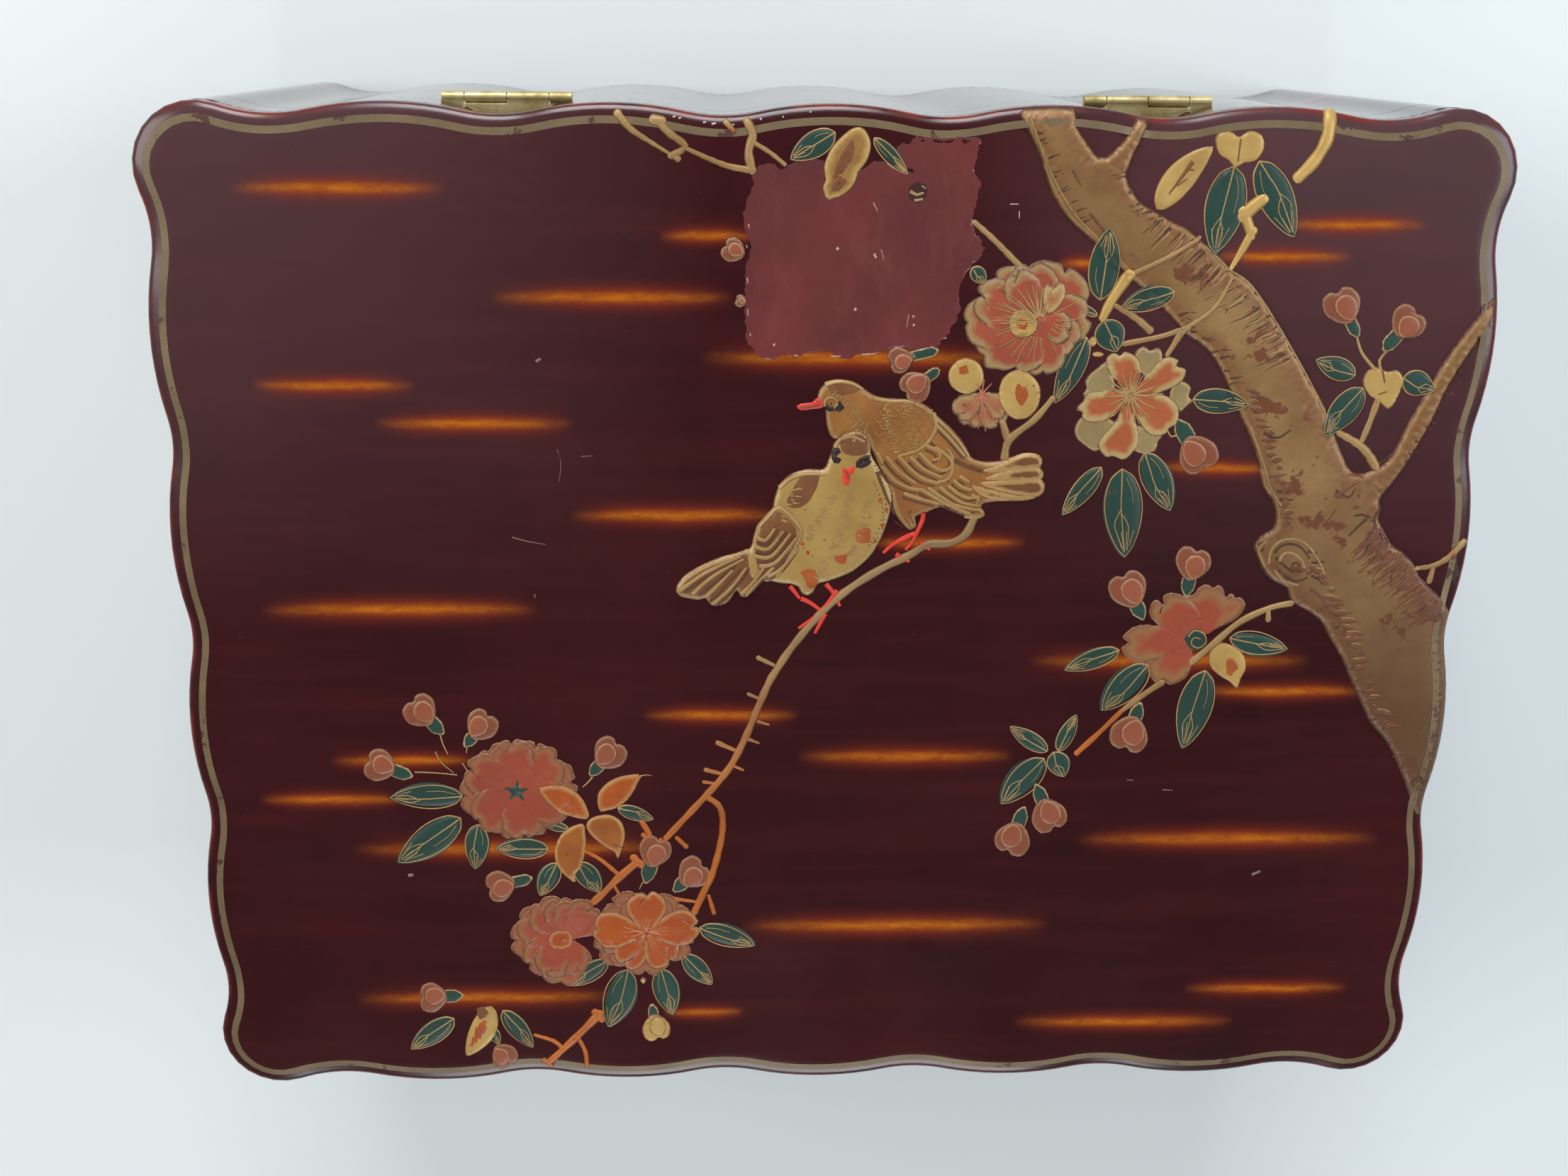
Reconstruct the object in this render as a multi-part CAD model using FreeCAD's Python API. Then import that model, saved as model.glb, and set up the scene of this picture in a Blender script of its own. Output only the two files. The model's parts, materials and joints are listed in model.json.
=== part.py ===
import FreeCAD, Part
import math
import os

from FreeCAD import Vector

# Lacquered sewing box: a wave-edged case, a lid on two brass hinges, a lock
# and a lift-out tray with four covered compartments and a pincushion.
# Frame: X runs along the width, Y towards the hinges, Z up. The origin is the
# middle of the underside of the base. All lengths are in millimetres.

# Outline seen from above. Every side is a row of tangent arcs, hollow ones
# (troughs) and bulging ones (crests), and the corners are arcs of their own.
box_width = 350.0
box_depth = 280.0
wave_depth = 3.0
long_trough_radius = 42.0
short_trough_radius = 31.0
corner_radius = 16.5
long_side_crest_count = 5
short_side_crest_count = 4

# Case
case_height = 124.6
wall_thickness = 13.0
base_thickness = 7.0

# Lid: a board with a soft falling border on four rims
joint_gap = 0.4
lid_height = 25.0
lid_board_thickness = 8.0
lid_border_width = 7.0
lid_border_fall = 2.2
lid_border_rings = 3
lid_lining_thickness = 0.8
lid_lining_margin = 0.4

# Liner boards inside the case, standing proud of the joint to guide the lid
liner_thickness = 2.5
liner_rise = 4.0
liner_clearance = 0.5
floor_lining_thickness = 1.0
ledge_width = 5.0
ledge_height = 6.0

# Hinges
hinge_spacing = 168.0
barrel_radius = 1.4
barrel_overhang = 0.3
pin_radius = 0.7
pin_running_fit = 0.05
end_knuckle = 6.0
middle_knuckle = 11.0
knuckle_gap = 0.25
barrel_groove_clearance = 0.35
leaf_thickness = 1.0
leaf_depth = 11.0
leaf_nail_setback = 6.5
leaf_nail_margin = 7.0

# Flush square-cut brass nails that hold the leaves, the lock and the keeper
nail_side = 1.7
nail_length = 8.0

# Lock in the front wall and its keeper on the lid
lock_width = 30.0
lock_height = 20.0
lock_depth = 6.0
lock_sheet = 0.8
lock_ear = 5.0
lock_cover_depth = 8.0
lock_cover_thickness = 1.0
lock_nail_margin = 3.0
lug_offset = 4.0
lug_width = 2.2
lug_depth = 3.8
lug_length = 9.0
eye_height = 3.6
eye_depth = 2.4
eye_floor = 1.4
lug_passage_clearance = 0.8
keeper_depth = 7.0
keeper_thickness = 1.0
keeper_nail_margin = 4.0
bolt_running_gap = 0.3
bolt_height = 2.8
bolt_depth = 1.6
bolt_end_room = 1.0
bolt_rest_gap = 0.6
talon_width = 3.0
talon_height = 1.2
talon_offset = 2.0
guide_start = 4.5
keyhole_drop = 12.0
keyhole_radius = 1.5
keyhole_slot_width = 1.4
keyhole_slot_length = 4.5
escutcheon_width = 13.0
escutcheon_height = 21.0
escutcheon_thickness = 0.9
escutcheon_pin_side = 1.1
escutcheon_pin_margin = 2.5
escutcheon_pin_proud = 0.4
escutcheon_pin_depth = 3.3

# Tray
tray_height = 28.0
tray_top_drop = 5.6
tray_side_clearance = 0.7
resting_gap = 0.3
tray_wall = 4.0
tray_floor_thickness = 2.5
divider_thickness = 3.0
divider_drop = 1.5
divider_housing = 1.0
divider_x = 52.0
divider_y = 42.0
board_chamfer = 0.6

# Covers of the four corner compartments, with turned knobs
cover_thickness = 3.0
cover_rebate = 1.2
cover_clearance = 0.5
knob_base_radius = 4.6
knob_base_height = 0.8
knob_neck_radius = 2.2
knob_neck_height = 2.6
knob_head_radius = 4.2
knob_height = 6.2

# Pincushion in the middle compartment
cushion_board_thickness = 2.0
cushion_clearance = 0.4
cushion_side_height = 14.0
cushion_crown_height = 13.5
cushion_drawn_in = 2.0

# Heights and half sizes that follow from the values above
half_width = box_width / 2
half_depth = box_depth / 2
lid_bottom = case_height + joint_gap
lid_top = lid_bottom + lid_height
lid_board_bottom = lid_top - lid_board_thickness
inner_x = half_width - wall_thickness
inner_y = half_depth - wall_thickness
lid_inner_x = inner_x + liner_clearance
lid_inner_y = inner_y + liner_clearance
liner_x = inner_x - liner_thickness
liner_y = inner_y - liner_thickness
floor_top = base_thickness + floor_lining_thickness
hinge_axis_y = half_depth + barrel_overhang
hinge_axis_z = case_height + joint_gap / 2
hinge_half_length = end_knuckle + middle_knuckle
tray_top = case_height - tray_top_drop
tray_bottom = tray_top - tray_height
tray_x = liner_x - tray_side_clearance
tray_y = liner_y - tray_side_clearance
tray_inner_x = tray_x - tray_wall
tray_inner_y = tray_y - tray_wall
tray_floor_top = tray_bottom + tray_floor_thickness
divider_top = tray_top - divider_drop
lock_y = wall_thickness / 2 - half_depth
lock_plate_width = lock_width + 2 * lock_ear
lock_hollow_x = lock_width / 2 - lock_sheet
keyhole_z = case_height - keyhole_drop
corners = {"front_left": (-1, -1), "front_right": (1, -1), "back_left": (-1, 1), "back_right": (1, 1)}


# ---- plain solids ----

def block(x0, x1, y0, y1, z0, z1):
    """Box between two corners."""
    return Part.makeBox(x1 - x0, y1 - y0, z1 - z0, Vector(x0, y0, z0))


def rod(radius, length, start, direction):
    """Round bar from a start point along a direction."""
    return Part.makeCylinder(radius, length, start, direction)


def softened(board):
    """Board with the arrises round its top planed off."""
    top = board.BoundBox.ZMax
    upper = [edge for edge in board.Edges if edge.BoundBox.ZMin > top - board_chamfer]
    return board.makeChamfer(board_chamfer, upper)


def fused(solids):
    """One solid out of several that touch or overlap."""
    whole = solids[0]
    for solid in solids[1:]:
        whole = whole.fuse(solid)
    return whole.removeSplitter()


def cut_by(solid, tools):
    """Solid with every tool taken away."""
    for tool in tools:
        solid = solid.cut(tool)
    return solid


# ---- wave-edged outline ----

def side_arcs(half_length, half_span, trough_radius, crest_count):
    """Arcs of one side and the corner that ends it: (along, outwards, radius, bulge)."""
    corner_along = half_length - corner_radius
    reach = 2 * wave_depth * (trough_radius + corner_radius) - wave_depth ** 2
    last_trough = corner_along - math.sqrt(reach)
    half_pitch = last_trough / crest_count
    crest_radius = (half_pitch ** 2 + wave_depth ** 2) / (2 * wave_depth) - trough_radius
    arcs = []
    for index in range(crest_count + 1):
        along = 2 * index * half_pitch - last_trough
        arcs.append((along, half_span - wave_depth + trough_radius, trough_radius, -1))
        if index < crest_count:
            arcs.append((along + half_pitch, half_span - crest_radius, crest_radius, 1))
    arcs.append((corner_along, half_span - corner_radius, corner_radius, 1))
    return arcs


def outline_arcs():
    """All arcs of the outline, anticlockwise from the front left: (x, y, radius, bulge)."""
    long_side = side_arcs(half_width, half_depth, long_trough_radius, long_side_crest_count)
    short_side = side_arcs(half_depth, half_width, short_trough_radius, short_side_crest_count)
    arcs = [(along, -outwards, radius, bulge) for along, outwards, radius, bulge in long_side]
    arcs += [(outwards, along, radius, bulge) for along, outwards, radius, bulge in short_side]
    arcs += [(-along, outwards, radius, bulge) for along, outwards, radius, bulge in long_side]
    arcs += [(-outwards, -along, radius, bulge) for along, outwards, radius, bulge in short_side]
    return arcs


def wavy_wire(inset, height):
    """Closed outline at a height, moved inwards by the inset. Arc centres stay put."""
    arcs = [(Vector(x, y, height), radius - bulge * inset) for x, y, radius, bulge in outline_arcs()]
    touches = []
    for (centre, radius), (next_centre, next_radius) in zip(arcs, arcs[1:] + arcs[:1]):
        touches.append(centre + (next_centre - centre) * (radius / (radius + next_radius)))
    edges = []
    for index, (centre, radius) in enumerate(arcs):
        start = touches[index - 1]
        end = touches[index]
        middle = (start - centre) + (end - centre)
        middle.normalize()
        edges.append(Part.Arc(start, centre + middle * radius, end).toShape())
    return Part.Wire(edges)


def wavy_solid(levels):
    """Solid through outlines given as (inset, height), from the bottom up."""
    return Part.makeLoft([wavy_wire(inset, height) for inset, height in levels], True, True)


def wall_block(side, half_x, half_y, bottom, top):
    """Mitred block that keeps one side of a ring outside the given inner rectangle."""
    run = 2 * wall_thickness
    signs = {"front": ((-1, -1), (1, -1)), "back": ((1, 1), (-1, 1)),
             "left": ((-1, 1), (-1, -1)), "right": ((1, -1), (1, 1))}[side]
    inner = [Vector(sx * half_x, sy * half_y, bottom) for sx, sy in signs]
    outer = [Vector(sx * (half_x + run), sy * (half_y + run), bottom) for sx, sy in reversed(signs)]
    points = inner + outer
    face = Part.Face(Part.makePolygon(points + points[:1]))
    return face.extrude(Vector(0, 0, top - bottom))


# ---- nails ----

def nail(x, y, z, direction):
    """Flush square nail with its head at z, driven up (1) or down (-1)."""
    low, high = sorted((z, z + direction * nail_length))
    return block(x - nail_side / 2, x + nail_side / 2, y - nail_side / 2, y + nail_side / 2, low, high)


def nails(places, height, direction):
    """A set of equal nails, as a list of solids."""
    return [nail(x, y, height, direction) for x, y in places]


def leaf_nail_places():
    """Plan positions of the nails of one row of leaves, two to a leaf."""
    y = hinge_axis_y - leaf_nail_setback
    reach = hinge_half_length - leaf_nail_margin
    return [(side * hinge_spacing / 2 + step * reach, y) for side in (-1, 1) for step in (-1, 1)]


def lock_nail_places(plate_width, margin):
    """Plan positions of the two nails near the ends of a plate over the lock."""
    reach = plate_width / 2 - margin
    return [(-reach, lock_y), (reach, lock_y)]


# ---- hinges ----

def knuckle_spans(turn, upper):
    """Stretches of barrel, along X from the hinge's middle, that belong to one leaf."""
    spans = [(-hinge_half_length, -middle_knuckle), (0.0, middle_knuckle)]
    if turn * upper < 0:
        spans = [(-middle_knuckle, 0.0), (middle_knuckle, hinge_half_length)]
    return spans


def hinge_leaf(side, upper):
    """Brass leaf with its rolled knuckles: upper 1 is the lid's leaf, -1 the case's."""
    centre = side * hinge_spacing / 2
    face = lid_bottom if upper > 0 else case_height - leaf_thickness
    plate_end = hinge_axis_y - barrel_radius - knuckle_gap
    solids = [block(centre - hinge_half_length, centre + hinge_half_length,
                    hinge_axis_y - leaf_depth, plate_end, face, face + leaf_thickness)]
    for start, end in knuckle_spans(-side, upper):
        left = centre + start + knuckle_gap / 2
        right = centre + end - knuckle_gap / 2
        solids.append(block(left, right, plate_end, hinge_axis_y, face, face + leaf_thickness))
        solids.append(rod(barrel_radius, right - left, Vector(left, hinge_axis_y, hinge_axis_z), Vector(1, 0, 0)))
    hole_radius = pin_radius + (pin_running_fit if upper > 0 else 0)
    hole = rod(hole_radius, 2 * hinge_half_length, Vector(centre - hinge_half_length, hinge_axis_y, hinge_axis_z),
               Vector(1, 0, 0))
    nail_places = [place for place in leaf_nail_places() if place[0] * side > 0]
    return cut_by(fused(solids), [hole] + nails(nail_places, lid_bottom if upper > 0 else case_height, upper))


def hinge_pin(side):
    """Steel pin through the four knuckles."""
    left = side * hinge_spacing / 2 - hinge_half_length + knuckle_gap / 2
    length = 2 * hinge_half_length - knuckle_gap
    return rod(pin_radius, length, Vector(left, hinge_axis_y, hinge_axis_z), Vector(1, 0, 0))


def hinge_recess(side, upper):
    """Space that one leaf and the whole barrel take out of a rim."""
    centre = side * hinge_spacing / 2
    face = lid_bottom if upper > 0 else case_height - leaf_thickness
    half_length = hinge_half_length + knuckle_gap
    leaf_space = block(centre - hinge_half_length, centre + hinge_half_length,
                       hinge_axis_y - leaf_depth, hinge_axis_y + barrel_radius, face, face + leaf_thickness)
    groove = rod(barrel_radius + barrel_groove_clearance, 2 * half_length,
                 Vector(centre - half_length, hinge_axis_y, hinge_axis_z), Vector(1, 0, 0))
    return leaf_space.fuse(groove)


# ---- lock ----

def keyhole(front, back):
    """Keyhole cutter: a round hole over a slot, through the given Y stretch."""
    hole = rod(keyhole_radius, back - front, Vector(0, front, keyhole_z), Vector(0, 1, 0))
    slot = block(-keyhole_slot_width / 2, keyhole_slot_width / 2, front, back,
                 keyhole_z - keyhole_slot_length, keyhole_z)
    return hole.fuse(slot)


def lug_space(clearance):
    """Prism that the keeper's lug fills, with a clearance all round."""
    return block(-lug_offset - lug_width / 2 - clearance, -lug_offset + lug_width / 2 + clearance,
                 lock_y - lug_depth / 2 - clearance, lock_y + lug_depth / 2 + clearance,
                 lid_bottom - lug_length - clearance, lid_bottom)


def bolt_middle():
    """Height of the bolt's middle, which is the middle of the lug's eye."""
    return lid_bottom - lug_length + eye_floor + eye_height / 2


def lock_case():
    """Lock box let into the front wall, with its top plate, bolt guides and keyhole."""
    bottom = case_height - lock_height
    top = case_height - lock_cover_thickness
    body = block(-lock_width / 2, lock_width / 2, lock_y - lock_depth / 2, lock_y + lock_depth / 2, bottom, top)
    hollow_y = lock_depth / 2 - lock_sheet
    hollow = block(-lock_hollow_x, lock_hollow_x, lock_y - hollow_y, lock_y + hollow_y, bottom + lock_sheet, top)
    top_plate = block(-lock_plate_width / 2, lock_plate_width / 2, lock_y - lock_cover_depth / 2,
                      lock_y + lock_cover_depth / 2, top, case_height)
    reach = bolt_height / 2 + bolt_running_gap
    lower_guide = block(guide_start, lock_hollow_x, lock_y - hollow_y, lock_y + hollow_y,
                        bottom + lock_sheet, bolt_middle() - reach)
    upper_guide = block(guide_start, lock_hollow_x, lock_y - hollow_y, lock_y + hollow_y, bolt_middle() + reach, top)
    solid = fused([body.cut(hollow), top_plate, lower_guide, upper_guide])
    front = lock_y - lock_depth / 2
    holes = nails(lock_nail_places(lock_plate_width, lock_nail_margin), case_height, -1)
    return cut_by(solid, [lug_space(lug_passage_clearance), keyhole(front, front + lock_sheet)] + holes)


def lock_bolt():
    """Straight bolt, drawn back beside the lug, with the notch that the key catches."""
    tip = -lug_offset + lug_width / 2 + bolt_rest_gap
    bottom = bolt_middle() - bolt_height / 2
    bar = block(tip, lock_hollow_x - bolt_end_room, lock_y - bolt_depth / 2, lock_y + bolt_depth / 2,
                bottom, bottom + bolt_height)
    talon = block(talon_offset - talon_width / 2, talon_offset + talon_width / 2, lock_y - bolt_depth / 2,
                  lock_y + bolt_depth / 2, bottom, bottom + talon_height)
    return bar.cut(talon)


def lock_keeper():
    """Plate let in under the lid's front rim, to which the lug is brazed."""
    plate = block(-lock_width / 2, lock_width / 2, lock_y - keeper_depth / 2, lock_y + keeper_depth / 2,
                  lid_bottom, lid_bottom + keeper_thickness)
    return cut_by(plate, nails(lock_nail_places(lock_width, keeper_nail_margin), lid_bottom, 1))


def keeper_lug():
    """Lug under the keeper that hangs into the lock, with the eye for the bolt."""
    eye_bottom = bolt_middle() - eye_height / 2
    eye = block(-lug_offset - lug_width / 2, -lug_offset + lug_width / 2, lock_y - eye_depth / 2,
                lock_y + eye_depth / 2, eye_bottom, eye_bottom + eye_height)
    return lug_space(0).cut(eye)


def escutcheon():
    """Oval brass plate bent to the front crest, with the keyhole."""
    half_height = escutcheon_height / 2
    centre_z = keyhole_z - (keyhole_slot_length - keyhole_radius) / 2
    levels = (centre_z - half_height, centre_z + half_height)
    outer = wavy_solid([(-escutcheon_thickness, z) for z in levels])
    inner = wavy_solid([(0, z) for z in levels])
    oval = Part.Ellipse(Vector(0, 0, 0), half_height, escutcheon_width / 2)
    face = Part.Face(Part.Wire(oval.toShape()))
    face.rotate(Vector(0, 0, 0), Vector(1, 0, 0), 90)
    face.rotate(Vector(0, 0, 0), Vector(0, 1, 0), 90)
    face.translate(Vector(0, -half_depth - wall_thickness, centre_z))
    die = face.extrude(Vector(0, 2 * wall_thickness, 0))
    plate = outer.common(die).cut(inner)
    return cut_by(plate, [keyhole(-half_depth - wall_thickness, lock_y)] + escutcheon_pins())


def escutcheon_pins():
    """Two pins through the keyhole plate into the wall, above and below the keyhole."""
    centre_z = keyhole_z - (keyhole_slot_length - keyhole_radius) / 2
    reach = escutcheon_height / 2 - escutcheon_pin_margin
    face = -half_depth - escutcheon_thickness - escutcheon_pin_proud
    length = escutcheon_pin_proud + escutcheon_thickness + escutcheon_pin_depth
    half = escutcheon_pin_side / 2
    return [block(-half, half, face, face + length, centre_z + step * reach - half, centre_z + step * reach + half)
            for step in (-1, 1)]


# ---- case ----

def case_outer():
    """Outside form of the four case walls together."""
    return wavy_solid([(0, base_thickness), (0, case_height)])


def case_wall(side):
    """One mitred wall: wavy outside, flat inside, with the seats of its brasses."""
    wall = case_outer().common(wall_block(side, inner_x, inner_y, base_thickness, case_height))
    tools = []
    if side == "back":
        tools = [hinge_recess(-1, -1), hinge_recess(1, -1)]
        tools += nails(leaf_nail_places(), case_height, -1)
    if side == "front":
        tools = [block(-lock_width / 2, lock_width / 2, lock_y - lock_depth / 2, lock_y + lock_depth / 2,
                       case_height - lock_height, case_height),
                 block(-lock_plate_width / 2, lock_plate_width / 2, lock_y - lock_cover_depth / 2,
                       lock_y + lock_cover_depth / 2, case_height - lock_cover_thickness, case_height),
                 keyhole(-half_depth - wave_depth, lock_y)]
        tools += nails(lock_nail_places(lock_plate_width, lock_nail_margin), case_height, -1)
        tools += escutcheon_pins()
    return cut_by(wall, tools)


def base_board():
    """Bottom board of the full outline."""
    return wavy_solid([(0, 0), (0, base_thickness)])


def liner(side):
    """Thin board inside one wall, from the floor to above the joint, planed off round its top."""
    top = case_height + liner_rise
    if side in ("front", "back"):
        sign = 1 if side == "back" else -1
        low, high = sorted((sign * liner_y, sign * inner_y))
        board = block(-inner_x, inner_x, low, high, floor_top, top)
    else:
        sign = 1 if side == "right" else -1
        low, high = sorted((sign * liner_x, sign * inner_x))
        board = block(low, high, -liner_y, liner_y, floor_top, top)
    return softened(board)


def tray_ledge(sign):
    """Strip on the left (-1) or right (1) liner that carries the tray."""
    low, high = sorted((sign * (liner_x - ledge_width), sign * liner_x))
    top = tray_bottom - resting_gap
    return block(low, high, -liner_y, liner_y, top - ledge_height, top)


# ---- lid ----

def lid_board():
    """Top board: straight edge, then a border that falls away in a soft curve."""
    levels = [(0, lid_board_bottom)]
    for index in range(lid_border_rings):
        angle = math.pi / 2 * index / (lid_border_rings - 1)
        inset = lid_border_width * (1 - math.cos(angle))
        levels.append((inset, lid_top - lid_border_fall * (1 - math.sin(angle))))
    return wavy_solid(levels)


def lid_rim(side):
    """One mitred side of the lid, with the seats of its brasses."""
    outer = wavy_solid([(0, lid_bottom), (0, lid_board_bottom)])
    rim = outer.common(wall_block(side, lid_inner_x, lid_inner_y, lid_bottom, lid_board_bottom))
    tools = []
    if side == "back":
        tools = [hinge_recess(-1, 1), hinge_recess(1, 1)]
        tools += nails(leaf_nail_places(), lid_bottom, 1)
    if side == "front":
        tools = [block(-lock_width / 2, lock_width / 2, lock_y - keeper_depth / 2, lock_y + keeper_depth / 2,
                       lid_bottom, lid_bottom + keeper_thickness)]
        tools += nails(lock_nail_places(lock_width, keeper_nail_margin), lid_bottom, 1)
    return cut_by(rim, tools)


def lid_lining():
    """Silk-covered card glued inside the lid."""
    half_x = lid_inner_x - lid_lining_margin
    half_y = lid_inner_y - lid_lining_margin
    return block(-half_x, half_x, -half_y, half_y, lid_board_bottom - lid_lining_thickness, lid_board_bottom)


# ---- tray ----

def cover_space(corner, clearance):
    """Rebated space of one corner compartment that its cover drops into."""
    sign_x, sign_y = corners[corner]
    x_low = divider_x + divider_thickness / 2 - cover_rebate + clearance
    x_high = tray_inner_x + cover_rebate - clearance
    y_low = divider_y + divider_thickness / 2 - cover_rebate + clearance
    y_high = tray_inner_y + cover_rebate - clearance
    xs = sorted((sign_x * x_low, sign_x * x_high))
    ys = sorted((sign_y * y_low, sign_y * y_high))
    return xs, ys


def rebates():
    """Cutters for the seats of the four covers, up to above the tray's rim."""
    bottom = divider_top - cover_thickness - resting_gap
    tools = []
    for corner in corners:
        xs, ys = cover_space(corner, 0)
        tools.append(block(xs[0], xs[1], ys[0], ys[1], bottom, tray_top + tray_wall))
    return tools


def long_divider(sign):
    """Divider along X, notched from above where the cross dividers pass."""
    half_length = tray_inner_x + divider_housing
    y = sign * divider_y
    board = softened(block(-half_length, half_length, y - divider_thickness / 2, y + divider_thickness / 2,
                           tray_floor_top, divider_top))
    lap = (tray_floor_top + divider_top) / 2
    notches = [block(side * divider_x - divider_thickness / 2, side * divider_x + divider_thickness / 2,
                     y - divider_thickness, y + divider_thickness, lap, divider_top) for side in (-1, 1)]
    return cut_by(board, notches + rebates())


def cross_divider(sign):
    """Divider along Y, notched from below where it crosses the long ones."""
    half_length = tray_inner_y + divider_housing
    x = sign * divider_x
    board = softened(block(x - divider_thickness / 2, x + divider_thickness / 2, -half_length, half_length,
                           tray_floor_top, divider_top))
    lap = (tray_floor_top + divider_top) / 2
    notches = [block(x - divider_thickness, x + divider_thickness, side * divider_y - divider_thickness / 2,
                     side * divider_y + divider_thickness / 2, tray_floor_top, lap) for side in (-1, 1)]
    return cut_by(board, notches + rebates())


def tray_side(side):
    """One wall of the tray, housed for the dividers and rebated for the covers."""
    if side in ("front", "back"):
        sign = 1 if side == "back" else -1
        low, high = sorted((sign * tray_inner_y, sign * tray_y))
        board = block(-tray_x, tray_x, low, high, tray_floor_top, tray_top)
        housings = [block(place * divider_x - divider_thickness / 2, place * divider_x + divider_thickness / 2,
                          -tray_inner_y - divider_housing, tray_inner_y + divider_housing,
                          tray_floor_top, divider_top) for place in (-1, 1)]
    else:
        sign = 1 if side == "right" else -1
        low, high = sorted((sign * tray_inner_x, sign * tray_x))
        board = block(low, high, -tray_inner_y, tray_inner_y, tray_floor_top, tray_top)
        housings = [block(-tray_inner_x - divider_housing, tray_inner_x + divider_housing,
                          place * divider_y - divider_thickness / 2, place * divider_y + divider_thickness / 2,
                          tray_floor_top, divider_top) for place in (-1, 1)]
    return cut_by(softened(board), housings + rebates())


def tray_floor():
    """Bottom board of the tray."""
    return block(-tray_x, tray_x, -tray_y, tray_y, tray_bottom, tray_floor_top)


def cover(corner):
    """Loose cover board of one corner compartment."""
    xs, ys = cover_space(corner, cover_clearance)
    return softened(block(xs[0], xs[1], ys[0], ys[1], divider_top - cover_thickness, divider_top))


def knob(corner):
    """Turned knob glued to its cover: foot, neck and thick round head."""
    xs, ys = cover_space(corner, cover_clearance)
    base = divider_top
    profile = [(0, base), (knob_base_radius, base), (knob_base_radius, base + knob_base_height),
               (knob_neck_radius, base + knob_base_height), (knob_neck_radius, base + knob_neck_height),
               (knob_head_radius, base + knob_neck_height), (knob_head_radius, base + knob_height),
               (0, base + knob_height), (0, base)]
    face = Part.Face(Part.makePolygon([Vector(r, 0, z) for r, z in profile]))
    solid = face.revolve(Vector(0, 0, 0), Vector(0, 0, 1), 360)
    solid.translate(Vector(sum(xs) / 2, sum(ys) / 2, 0))
    return solid


def cushion_half_sizes():
    """Half width and half depth of the pincushion's board."""
    return (divider_x - divider_thickness / 2 - cushion_clearance,
            divider_y - divider_thickness / 2 - cushion_clearance)


def cushion_board():
    """Thin board that the pincushion is made on."""
    half_x, half_y = cushion_half_sizes()
    return block(-half_x, half_x, -half_y, half_y, tray_floor_top, tray_floor_top + cushion_board_thickness)


def pillow_wire(half_x, half_y, drawn_in, height):
    """Four-cornered outline whose sides bow inwards between the corners."""
    points = [Vector(-half_x, -half_y, height), Vector(half_x, -half_y, height),
              Vector(half_x, half_y, height), Vector(-half_x, half_y, height)]
    middles = [Vector(0, drawn_in - half_y, height), Vector(half_x - drawn_in, 0, height),
               Vector(0, half_y - drawn_in, height), Vector(drawn_in - half_x, 0, height)]
    return Part.Wire([Part.Arc(start, middle, end).toShape()
                      for start, middle, end in zip(points, middles, points[1:] + points[:1])])


def pincushion():
    """Stuffed cushion: sides drawn in between its corners, under a crown rounded like a part of a ball."""
    half_x, half_y = cushion_half_sizes()
    bottom = tray_floor_top + cushion_board_thickness
    crown = bottom + cushion_side_height + cushion_crown_height
    corner = math.hypot(half_x, half_y)
    radius = (corner ** 2 + cushion_crown_height ** 2) / (2 * cushion_crown_height)
    ball = Part.makeSphere(radius, Vector(0, 0, 0), Vector(1, 0, 0))
    ball.rotate(Vector(0, 0, 0), Vector(1, 0, 0), 90)
    ball.translate(Vector(0, 0, crown - radius))
    foot = Part.Face(pillow_wire(half_x, half_y, cushion_drawn_in, bottom))
    return foot.extrude(Vector(0, 0, crown - bottom)).common(ball)


# ---- all pieces ----

def floor_lining():
    """Silk-covered card on the bottom of the case."""
    return block(-inner_x, inner_x, -inner_y, inner_y, base_thickness, floor_top)


def all_pieces():
    """Every node's name with its shape."""
    pieces = {"base_board": base_board(), "floor_lining": floor_lining(), "lid_board": lid_board(),
              "lid_lining": lid_lining()}
    for side in ("front", "back", "left", "right"):
        pieces["case_wall_" + side] = case_wall(side)
        pieces["liner_" + side] = liner(side)
        pieces["lid_rim_" + side] = lid_rim(side)
        pieces["tray_wall_" + side] = tray_side(side)
    for name, sign in (("left", -1), ("right", 1)):
        pieces["tray_ledge_" + name] = tray_ledge(sign)
        pieces["hinge_case_leaf_" + name] = hinge_leaf(sign, -1)
        pieces["hinge_lid_leaf_" + name] = hinge_leaf(sign, 1)
        pieces["hinge_pin_" + name] = hinge_pin(sign)
        pieces["cross_divider_" + name] = cross_divider(sign)
    pieces["case_leaf_nails"] = Part.makeCompound(nails(leaf_nail_places(), case_height, -1))
    pieces["lid_leaf_nails"] = Part.makeCompound(nails(leaf_nail_places(), lid_bottom, 1))
    pieces["lock_case"] = lock_case()
    lock_places = lock_nail_places(lock_plate_width, lock_nail_margin)
    pieces["lock_nails"] = Part.makeCompound(nails(lock_places, case_height, -1))
    pieces["lock_bolt"] = lock_bolt()
    pieces["lock_keeper"] = lock_keeper()
    pieces["keeper_lug"] = keeper_lug()
    keeper_places = lock_nail_places(lock_width, keeper_nail_margin)
    pieces["keeper_nails"] = Part.makeCompound(nails(keeper_places, lid_bottom, 1))
    pieces["escutcheon"] = escutcheon()
    pieces["escutcheon_pins"] = Part.makeCompound(escutcheon_pins())
    pieces["tray_floor"] = tray_floor()
    pieces["long_divider_front"] = long_divider(-1)
    pieces["long_divider_back"] = long_divider(1)
    for corner in corners:
        pieces["cover_" + corner] = cover(corner)
        pieces["knob_" + corner] = knob(corner)
    pieces["pincushion_board"] = cushion_board()
    pieces["pincushion"] = pincushion()
    return pieces


os.makedirs("parts", exist_ok=True)
for name, shape in all_pieces().items():
    shape.exportStep("parts/" + name + ".step")
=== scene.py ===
import json
import random
from math import ceil, cos, hypot, pi, radians, sin, sqrt

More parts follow.
